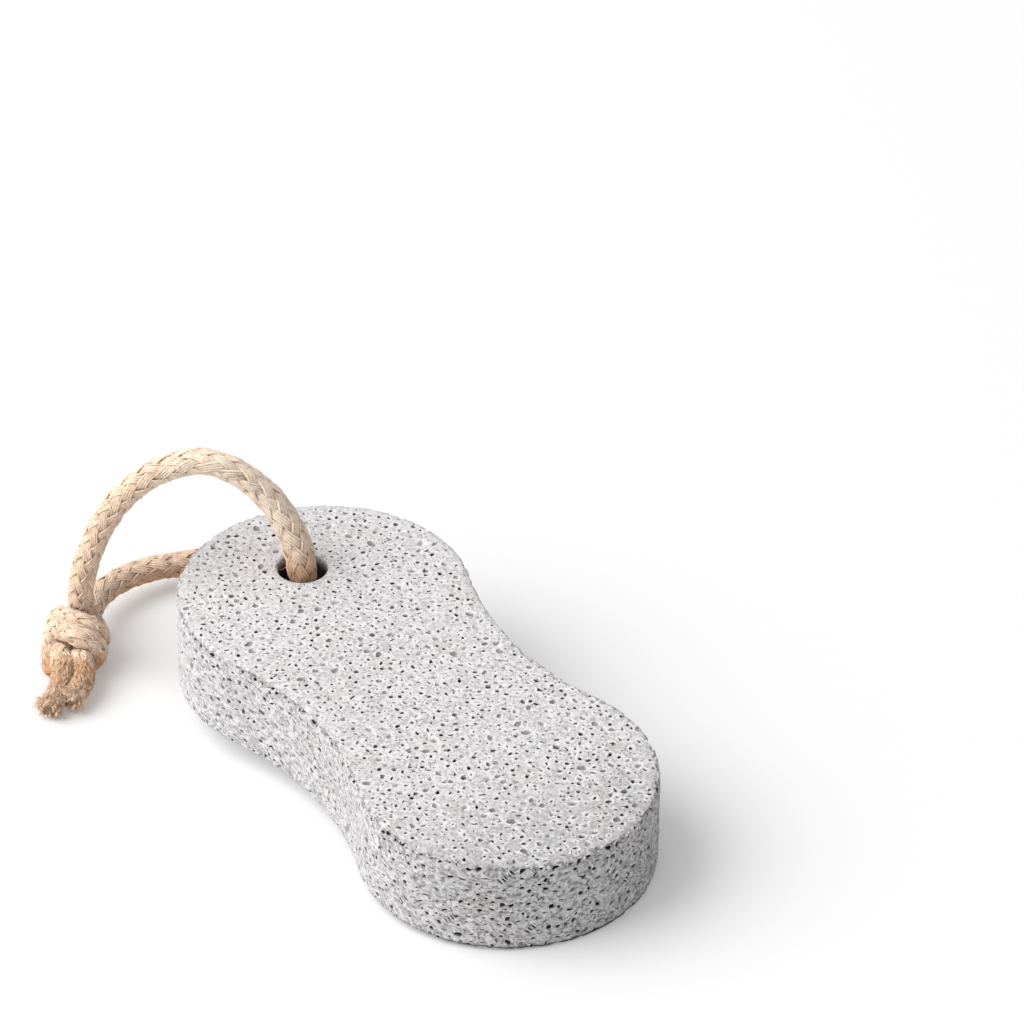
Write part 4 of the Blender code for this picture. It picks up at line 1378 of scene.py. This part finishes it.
# Chips and nicks of the edges: how fast they change, their shift, and the level where they begin
CHIP_NOISE = (0.95, (31.7, 4.2, 9.1), 0.10)
NICK_NOISE = (2.1, (3.3, 57.1, 8.4), 0.12)
CHIP_GAIN = 2.6  # brings the noise of chips and nicks to a depth of about 1
CHIP_REACH_TOP, CHIP_REACH_WALL = 0.6, 1.0  # how far chips reach from an edge, in millimetres
WHOLE_EDGE, WHOLE_UP_TO, WHOLE_FADE = 0.25, -45.0, 30.0  # share, place and fade of the less chipped end
WHOLE_SLANT = 1.2  # of the line across the stone where that end stops
FOOT_CHIPS = 0.35  # depth of the chips of the lower edge, as a share of those of the upper one


def clamped(value, least=0.0):
    """The value, kept between the least and 1."""
    return min(1.0, max(least, value))


def broken_away(spot, rate, shift, threshold):
    """Depth of the chips at a spot: how far a noise passes its threshold there."""
    return max(0.0, noise.noise(spot * rate + Vector(shift)) - threshold) * CHIP_GAIN


class StoneSkin:
    """The pitted slab, patch by patch, in millimetres in its own frame: underside Z = 0, length along X."""

    def __init__(self, shape):
        self.shape = shape
        self.outline = Outline(shape)
        self.thickness = shape.thickness / MM
        self.edge = shape.edge_radius / MM
        self.grain = shape.grain_height / MM
        self.chip = shape.chip_depth / MM
        self.relief = shape.wall_relief / MM
        self.hole_radius = shape.hole_radius / MM
        self.hole_rim = shape.hole_rim_radius / MM
        self.mouth = self.hole_radius + self.hole_rim
        end_x = self.outline.hole_x - self.outline.hole_lobe
        self.hole_centre = np.array([end_x + shape.hole_from_end / MM, shape.hole_aside / MM])
        self.chance = np.random.default_rng(shape.seed)
        self.around = np.arange(0, self.outline.total, BORDER_STEP)  # distances round the outline
        self.points, self.faces, self.dark, self.wall = [], [], [], []
        self.count = 0  # points so far

    def wear(self, places, wall, at_edge):
        """How far the surface stands back at each place: unevenness, marks on the wall, chipped edges."""
        depth = np.empty(len(places))
        for number, place in enumerate(places):
            spot = Vector(place)
            flank, around, down = wall[number]
            depth[number] = self.grain * sum(noise.noise(spot * rate) * share for rate, share in GRAIN_NOISE)
            if flank > 0:
                roughening = clamped((place[0] - ROUGH_FROM) / (ROUGH_TO - ROUGH_FROM))
                rough = ROUGH_LEAST + ROUGH_GAIN * roughening
                above_foot = clamped((WALL_FOOT - CALM_FOOT - down) / CALM_FADE)
                unrolled = (around * MARK_ALONG, (down + around * MARK_SLANT) * MARK_ACROSS, 7.7)
                marks = MARK_SHARE * noise.noise(Vector(unrolled))
                lumps = LUMP_SHARE * noise.noise(spot * LUMP_RATE + Vector(LUMP_SHIFT))
                depth[number] += self.relief * rough * flank * above_foot * (marks + lumps)
            if at_edge[number] > 0:
                chips = broken_away(spot, *CHIP_NOISE) + broken_away(spot, *NICK_NOISE)
                from_whole = place[0] - WHOLE_SLANT * place[1] - WHOLE_UP_TO
                broken = clamped(from_whole / WHOLE_FADE, WHOLE_EDGE)
                depth[number] += self.chip * chips * at_edge[number] * broken
        return depth

    def add_patch(self, places, outward, triangles, depth, dark, wall, at_edge):
        """Adds a patch, worn and pitted; wall is how much each point belongs to the wall, and where on it."""
        depth = depth + self.wear(places, wall, at_edge)
        self.points.append(places - outward * depth[:, None])
        self.faces.append(triangles + self.count)
        self.dark.append(dark)
        self.wall.append(wall)
        self.count += len(places)

    def inner_outline(self):
        """The outline of the flat faces, inside the rounded edges."""
        place, out = self.outline.at(self.around)
        return place - out * self.edge

    def hole_rays(self):
        """Directions away from the hole's middle, once round it."""
        turn = 2 * math.pi * np.arange(HOLE_STEPS) / HOLE_STEPS
        return np.column_stack([np.cos(turn), np.sin(turn)])

    def face(self, level, upward, density, filler_step):
        """The top or the underside, at a level, with its pores."""
        border, ring = self.inner_outline(), self.hole_centre + self.mouth * self.hole_rays()

        def allowed(spot, margin):
            """Whether a spot keeps its margin from the hole and the edge."""
            if np.linalg.norm(spot - self.hole_centre) < self.mouth + margin:
                return False
            inside = ring_contains(border, spot[None])[0]
            return inside and np.linalg.norm(border - spot, axis=1).min() > margin

        half_length = self.outline.length / 2
        low, high = (-half_length, -FACE_HALF_WIDTH), (half_length, FACE_HALF_WIDTH)
        chance = self.chance
        pores = PoreField(low, high, allowed, lambda spot: chance.uniform(0, math.pi), chance)
        pores.scatter(FACE_PORES, self.shape.pore_density * density)

        fillers = loose_grid(low, high, filler_step, chance)
        fillers = fillers[ring_contains(border, fillers)]
        away = np.linalg.norm(fillers - self.hole_centre, axis=1) > self.mouth + HOLE_INSET
        fillers = pores.clear_of_pores(fillers[away], FACE_CLEARANCE)
        flat, triangles, depth, dark = triangulated([border, ring], pores, fillers)
        # without the triangles that fill the hole
        from_hole = np.linalg.norm(flat[triangles].mean(1) - self.hole_centre, axis=1)
        triangles = triangles[from_hole > self.hole_radius + self.hole_rim * 0.9]
        if upward < 0:
            triangles = triangles[:, ::-1]
        places = np.column_stack([flat, np.full(len(flat), level)])
        outward = np.tile((0.0, 0.0, upward), (len(flat), 1))
        at_edge = np.clip(1 - distance_to_ring(flat, border) / CHIP_REACH_TOP, 0, 1)
        at_edge *= 1 if upward > 0 else FOOT_CHIPS
        self.add_patch(places, outward, triangles, depth, dark, np.zeros((len(flat), 3)), at_edge)

    def wall_pores(self, total, tall):
        """The pores of the unrolled wall."""
        chance, density = self.chance, self.shape.pore_density

        def allowed(spot, margin):
            """Whether a spot keeps its margin from the ends, the upper edge and the foot."""
            between_ends = margin < spot[0] < total - margin
            return between_ends and margin - OVER_TOP < spot[1] < tall - ABOVE_FOOT - margin

        def slant(spot):
            """Slant of a pore, much like that of its neighbours."""
            usual = noise.noise(Vector((spot[0] * SLANT_RATES[0], spot[1] * SLANT_RATES[1], 3.3)))
            return SLANT_SWING * usual + chance.normal(0.0, SLANT_SPREAD)

        pores = PoreField((0.0, 0.0), (total, tall), allowed, slant, chance)
        pores.combs(COMB_SLIT, density)
        pores.scatter(EDGE_PORES, density, (0.0, EDGE_BAND[0]), (total, EDGE_BAND[1]))
        pores.scatter(WALL_PORES, density)
        rough_end = (self.outline.lengths[0], tall - ROUGH_MARGIN)
        pores.scatter(ROUGH_PORES, density, (0.0, ROUGH_MARGIN), rough_end)
        pores.scatter(FOOT_PORES, density, (0.0, tall - FOOT_BAND[0]), (total, tall - FOOT_BAND[1]))
        return pores

    def wall_fillers(self, total, tall, quarter):
        """Free points of the unrolled wall, in rows along the rounded edges."""
        low, high = (WALL_INSET, quarter), (total - WALL_INSET, tall - quarter)
        middle = loose_grid(low, high, WALL_STEP, self.chance)
        row = np.arange(WALL_INSET, total - WALL_INSET, BAND_STEP)
        bands = [
            np.column_stack([row, np.full(len(row), down)])
            for share in (0.25, 0.5, 0.75)
            for down in (share * quarter, tall - share * quarter)
        ]
        for band in bands:
            band += self.chance.uniform(-0.1, 0.1, band.shape)
        fillers = np.vstack([middle, *bands])
        margin = WALL_INSET * 0.6
        inside = (fillers > margin).all(1) & (fillers < np.array([total, tall]) - margin).all(1)
        return fillers[inside]

    def side_wall(self):
        """The wall and both rounded edges, unrolled: distance round the outline, and depth down the wall."""
        total = self.outline.total
        quarter = self.edge * math.pi / 2
        tall = 2 * quarter + self.thickness - 2 * self.edge
        steps = round(tall / BORDER_STEP)
        rows = np.arange(1, steps) * (tall / steps)
        left = np.column_stack([np.zeros(len(rows)), rows[::-1]])
        right = np.column_stack([np.full(len(rows), total), rows])
        upper = np.column_stack([np.append(self.around, total), np.zeros(len(self.around) + 1)])
        lower = upper[::-1] + (0.0, tall)
        border = np.vstack([upper, right, lower, left])
        pores = self.wall_pores(total, tall)
        fillers = pores.clear_of_pores(self.wall_fillers(total, tall, quarter), WALL_CLEARANCE)
        flat, triangles, depth, dark = triangulated([border], pores, fillers)

        # rolled up again: the sheet's two ends meet, and both edges turn by a quarter of a circle
        place, out = self.outline.at(np.where(flat[:, 0] >= total - SAME_END, 0.0, flat[:, 0]))
        down = flat[:, 1]
        turn = np.clip(down / self.edge, 0, math.pi / 2)
        turn += np.clip((down - (tall - quarter)) / self.edge, 0, math.pi / 2)
        upper_edge = self.thickness - self.edge + self.edge * np.cos(turn)
        lower_edge = self.edge + self.edge * np.cos(turn)
        straight = self.thickness - self.edge - (down - quarter)
        level = np.where(down < quarter, upper_edge, np.where(down > tall - quarter, lower_edge, straight))
        places = np.column_stack([place - out * (self.edge * (1 - np.sin(turn)))[:, None], level])
        outward = np.column_stack([out * np.sin(turn)[:, None], np.cos(turn)])
        wall = np.column_stack([np.sin(turn), flat])
        from_edge = np.maximum(0, np.minimum(down, tall - down) - quarter)
        at_edge = np.clip(1 - from_edge / CHIP_REACH_WALL, 0, 1) * np.where(down > tall / 2, FOOT_CHIPS, 1)
        self.add_patch(places, outward, triangles[:, ::-1], depth, dark, wall, at_edge)

    def bore(self):
        """The hole's wall with its rounded rims."""
        rim = self.hole_rim
        quarter = np.linspace(0, math.pi / 2, RIM_STEPS)
        radius = self.mouth - rim * np.sin(quarter)
        level = self.thickness - rim + rim * np.cos(quarter)
        straight = np.linspace(self.thickness - rim, rim, BORE_STEPS)[1:-1]
        radius = np.concatenate([radius, np.full(len(straight), self.hole_radius), radius[::-1]])
        level = np.concatenate([level, straight, self.thickness - level[::-1]])
        slope = np.concatenate([quarter, np.full(len(straight), math.pi / 2), math.pi - quarter[::-1]])
        ray = self.hole_rays()
        rows = len(radius)
        places = np.empty((rows, HOLE_STEPS, 3))
        places[..., :2] = self.hole_centre + ray[None] * radius[:, None, None]
        places[..., 2] = level[:, None]
        outward = np.empty_like(places)
        outward[..., :2] = -ray[None] * np.sin(slope)[:, None, None]
        outward[..., 2] = np.cos(slope)[:, None]
        quads = tube_faces(rows, HOLE_STEPS, 0)[:, ::-1]
        triangles = np.vstack([quads[:, [0, 1, 2]], quads[:, [0, 2, 3]]])
        places, outward = places.reshape(-1, 3), outward.reshape(-1, 3)
        depth = np.minimum(self.thickness - places[:, 2], places[:, 2])
        # painted shade down the bore, darkening from each rim inwards
        soiled = BORE_SHADE * np.clip(depth / BORE_FADE, 0, 1)
        none = np.zeros(len(places))
        self.add_patch(places, outward, triangles, none, soiled, np.zeros((len(places), 3)), none)


def stone_matrix(shape):
    """Leans the slab about Y, rests it on Z = 0 and centres its bounding box, in metres."""
    outline = Outline(shape)
    edge = shape.edge_radius
    core_top = shape.thickness - edge
    front = outline.plain_x * MM + shape.plain_lobe_radius - edge
    back = outline.hole_x * MM - shape.hole_lobe_radius + edge
    sine, cosine = math.sin(shape.lean), math.cos(shape.lean)
    highest_x = front * cosine + core_top * sine + edge
    lowest_x = back * cosine + edge * sine - edge
    lowest_z = edge * cosine - front * sine - edge
    place = Matrix.Translation((-(highest_x + lowest_x) / 2, 0.0, -lowest_z))
    return place @ Matrix.Rotation(shape.lean, 4, "Y")


# ---- operators ----


class FOOTSTONE_OT_stage(bpy.types.Operator):
    """Lay the floor, hang the lights and set up the camera"""

    bl_idname = "footstone.stage"
    bl_label = "Stage"

    def execute(self, context):
        look = context.scene.footstone_stage
        add_camera(context.scene)
        add_floor(look)
        add_lights(context.scene, look)
        return {"FINISHED"}


class FOOTSTONE_OT_knot(bpy.types.Operator):
    """Braid the knot and its two tails"""

    bl_idname = "footstone.knot"
    bl_label = "Knot and tails"

    def execute(self, context):
        shape, finish = context.scene.footstone_cord, context.scene.footstone_cord_finish
        line, braid = cord_and_braid(shape)
        first, second = line.knot_sides()
        parts = [braid.tubes(first), braid.tubes(second)]
        parts += [core_tube(line, first[CORE_SHORTER:]), core_tube(line, second[:-CORE_SHORTER])]
        knot = cord_piece("cord_knot", parts, braided_jute(finish))
        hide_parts("rope_knot")
        return {"FINISHED"}


class FOOTSTONE_OT_frays(bpy.types.Operator):
    """Fray the two cut ends and raise stray fibres on the cord"""

    bl_idname = "footstone.frays"
    bl_label = "Frayed ends and stray fibres"

    def execute(self, context):
        shape, finish = context.scene.footstone_cord, context.scene.footstone_cord_finish
        line, braid = cord_and_braid(shape)
        chance = np.random.default_rng(shape.seed + FRAY_SEED)
        loose = loose_jute(finish)
        last = len(line.along) - 1
        parts = cut_end_tufts(braid, TUFT_STEPS, -line.ahead[0], chance)
        parts += cut_end_tufts(braid, last - TUFT_STEPS, line.ahead[-1], chance)
        cord_piece("cord_frays", parts, loose)
        sides = line.knot_sides()
        tails = (line.part(0, TAIL_LENGTH), line.part(line.along[-1] - TAIL_LENGTH, line.along[-1]))
        parts = [surface_hairs(line, picked, KNOT_HAIRS, chance) for picked in sides]
        parts += [broken_yarns(line, picked, TAIL_YARNS, chance) for picked in tails]
        parts += [broken_yarns(line, picked, KNOT_YARNS, chance) for picked in sides]
        loop = line.part(line.loop_start, line.loop_end)
        parts.append(surface_hairs(line, loop, LOOP_HAIRS, chance))
        cord_piece("cord_stray_fibres", parts, loose)
        return {"FINISHED"}


class FOOTSTONE_OT_loop(bpy.types.Operator):
    """Braid the loop of cord from the knot through the hole and back"""

    bl_idname = "footstone.loop"
    bl_label = "Cord loop"

    def execute(self, context):
        shape, finish = context.scene.footstone_cord, context.scene.footstone_cord_finish
        line, braid = cord_and_braid(shape)
        picked = line.part(line.loop_start - LINE_STEP, line.loop_end + LINE_STEP)
        parts = [braid.tubes(picked), core_tube(line, picked)]
        loop = cord_piece("cord_loop", parts, braided_jute(finish))
        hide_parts("rope_loop")
        return {"FINISHED"}


class FOOTSTONE_OT_stone(bpy.types.Operator):
    """Shape the pumice slab with its hole, chips and pores"""

    bl_idname = "footstone.stone"
    bl_label = "Pumice stone"

    def execute(self, context):
        shape, finish = context.scene.footstone_stone, context.scene.footstone_stone_finish
        skin = StoneSkin(shape)
        skin.face(level=skin.thickness, upward=1.0, density=1.0, filler_step=0.6)
        skin.face(level=0.0, upward=-1.0, density=0.8, filler_step=0.95)
        skin.side_wall()
        skin.bore()
        pumice = material_once("porous_pumice", pumice_material, finish)
        stone = new_piece(
            "pumice_stone_skin",
            np.vstack(skin.points),
            np.vstack(skin.faces),
            pumice,
            pore=np.concatenate(skin.dark),
            wall=np.vstack(skin.wall),
        )
        weld(stone.data, WELD_DISTANCE)
        stone.data.transform(stone_matrix(shape))
        stone.data.set_sharp_from_angle(angle=SHARP_ANGLE)
        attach(stone, BODY)
        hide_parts("pumice_stone")
        return {"FINISHED"}


class FOOTSTONE_PT_panel(bpy.types.Panel):
    """Buttons and settings of the foot stone"""

    bl_idname = "FOOTSTONE_PT_panel"
    bl_label = "Foot stone"
    bl_space_type = "VIEW_3D"
    bl_region_type = "UI"
    bl_category = "Foot stone"

    def draw(self, context):
        for operator in OPERATORS:
            self.layout.operator(operator.bl_idname)
        for name in SETTINGS:
            settings = getattr(context.scene, name)
            box = self.layout.box()
            for key in type(settings).__annotations__:
                box.prop(settings, key)


# ---- making pieces and the stage ----

WELD_DISTANCE = 0.002 * MM
SHARP_ANGLE = math.radians(38)


def cord_and_braid(shape):
    """The line of the cord and the braid on it, the same each time."""
    line = CordLine(shape)
    return line, Braid(shape, line, np.random.default_rng(shape.seed))


def weld(mesh, distance):
    """Joins the patches of a mesh where their edges meet."""
    edited = bmesh.new()
    edited.from_mesh(mesh)
    bmesh.ops.remove_doubles(edited, verts=edited.verts, dist=distance)
    bmesh.ops.recalc_face_normals(edited, faces=edited.faces)
    edited.to_mesh(mesh)
    edited.free()


CAMERA_PLACE = (0.5989, -0.35275, 0.50516)
CAMERA_RIGHT = (0.53992, 0.84141, -0.02275)
CAMERA_UP = (-0.45205, 0.31265, 0.8354)
CAMERA_FORWARD = (-0.71003, 0.44076, -0.54916)
CAMERA_LENS, CAMERA_SENSOR = 192.9, 36.0  # in millimetres
CAMERA_NEAR, CAMERA_FAR = 0.05, 20.0


def add_camera(scene):
    """A camera that looks down at the stone from the side of the knot."""
    data = bpy.data.cameras.new("camera")
    data.lens, data.sensor_width = CAMERA_LENS, CAMERA_SENSOR
    data.clip_start, data.clip_end = CAMERA_NEAR, CAMERA_FAR
    camera = new_object("camera", data)
    columns = Matrix((CAMERA_RIGHT, CAMERA_UP, [-value for value in CAMERA_FORWARD])).transposed()
    camera.matrix_world = Matrix.Translation(CAMERA_PLACE) @ columns.to_4x4()
    scene.camera = camera


FLOOR_LEVEL = -0.05 * MM  # just under the pieces
FLOOR_HALF = 4.0  # half its width


def add_floor(look):
    """A wide floor that gives a little light of its own."""
    material, _, surface = new_material("floor")
    surface.inputs["Base Color"].default_value = opaque(look.floor)
    surface.inputs["Emission Color"].default_value = opaque(look.floor)
    surface.inputs["Emission Strength"].default_value = look.floor_glow / look.floor[0]
    surface.inputs["Roughness"].default_value = 0.6
    surface.inputs["Specular IOR Level"].default_value = 0.15
    mesh = bpy.data.meshes.new("floor")
    ways = ((-1, -1), (1, -1), (1, 1), (-1, 1))
    corners = [(x * FLOOR_HALF, y * FLOOR_HALF, FLOOR_LEVEL) for x, y in ways]
    mesh.from_pydata(corners, [], [(0, 1, 2, 3)])
    mesh.materials.append(material)
    floor = new_object("floor", mesh)


MAIN_LIGHT_PLACE = (-0.80, -1.44, 1.90)
MAIN_LIGHT_SIZE = 2.6
BRIGHT_SKY = (-0.14, -1.0, 0.0)  # the side from which most of the light from all round comes


def add_lights(scene, look):
    """A broad soft light from one side of the stone, and light from all round."""
    world = bpy.data.worlds.new("surroundings")
    world.use_nodes = True
    bench = NodeBench(world.node_tree)
    background = world.node_tree.nodes["Background"]
    background.inputs["Color"].default_value = opaque(look.sky)
    bright_side = Vector(BRIGHT_SKY).normalized()
    facing = bench.add(
        "ShaderNodeVectorMath",
        {0: bench.add("ShaderNodeTexCoord").outputs["Generated"], 1: bright_side},
        operation="DOT_PRODUCT",
    ).outputs["Value"]
    share = bench.plus(bench.times(facing, look.sky_slope), 1.0)
    strength = bench.times(share, look.sky_strength)
    world.node_tree.links.new(strength, background.inputs["Strength"])
    scene.world = world
    scene.view_settings.view_transform = "Standard"
    data = bpy.data.lights.new("main_light", "AREA")
    data.shape, data.size, data.energy = "DISK", MAIN_LIGHT_SIZE, look.key_power
    light = new_object("main_light", data)
    light.location = MAIN_LIGHT_PLACE
    light.rotation_euler = (-Vector(MAIN_LIGHT_PLACE)).to_track_quat("-Z", "Y").to_euler()


SETTINGS = {
    "footstone_stone": StoneShape,
    "footstone_stone_finish": StoneFinish,
    "footstone_cord": CordShape,
    "footstone_cord_finish": CordFinish,
    "footstone_stage": StageLook,
}
OPERATORS = (
    FOOTSTONE_OT_stage,
    FOOTSTONE_OT_knot,
    FOOTSTONE_OT_frays,
    FOOTSTONE_OT_loop,
    FOOTSTONE_OT_stone,
)


def register():
    """Adds the settings, the operators and the panel to Blender."""
    for group in SETTINGS.values():
        bpy.utils.register_class(group)
    for operator in OPERATORS:
        bpy.utils.register_class(operator)
    bpy.utils.register_class(FOOTSTONE_PT_panel)
    for name, group in SETTINGS.items():
        setattr(bpy.types.Scene, name, bpy.props.PointerProperty(type=group))


def unregister():
    """Takes them out again."""
    for name in SETTINGS:
        delattr(bpy.types.Scene, name)
    bpy.utils.unregister_class(FOOTSTONE_PT_panel)
    for operator in reversed(OPERATORS):
        bpy.utils.unregister_class(operator)
    for group in reversed(SETTINGS.values()):
        bpy.utils.unregister_class(group)


def main():
    """Builds the whole scene."""
    register()
    bpy.ops.footstone.stage()
    bpy.ops.footstone.knot()
    bpy.ops.footstone.frays()
    bpy.ops.footstone.loop()
    bpy.ops.footstone.stone()


if __name__ == "__main__":
    main()
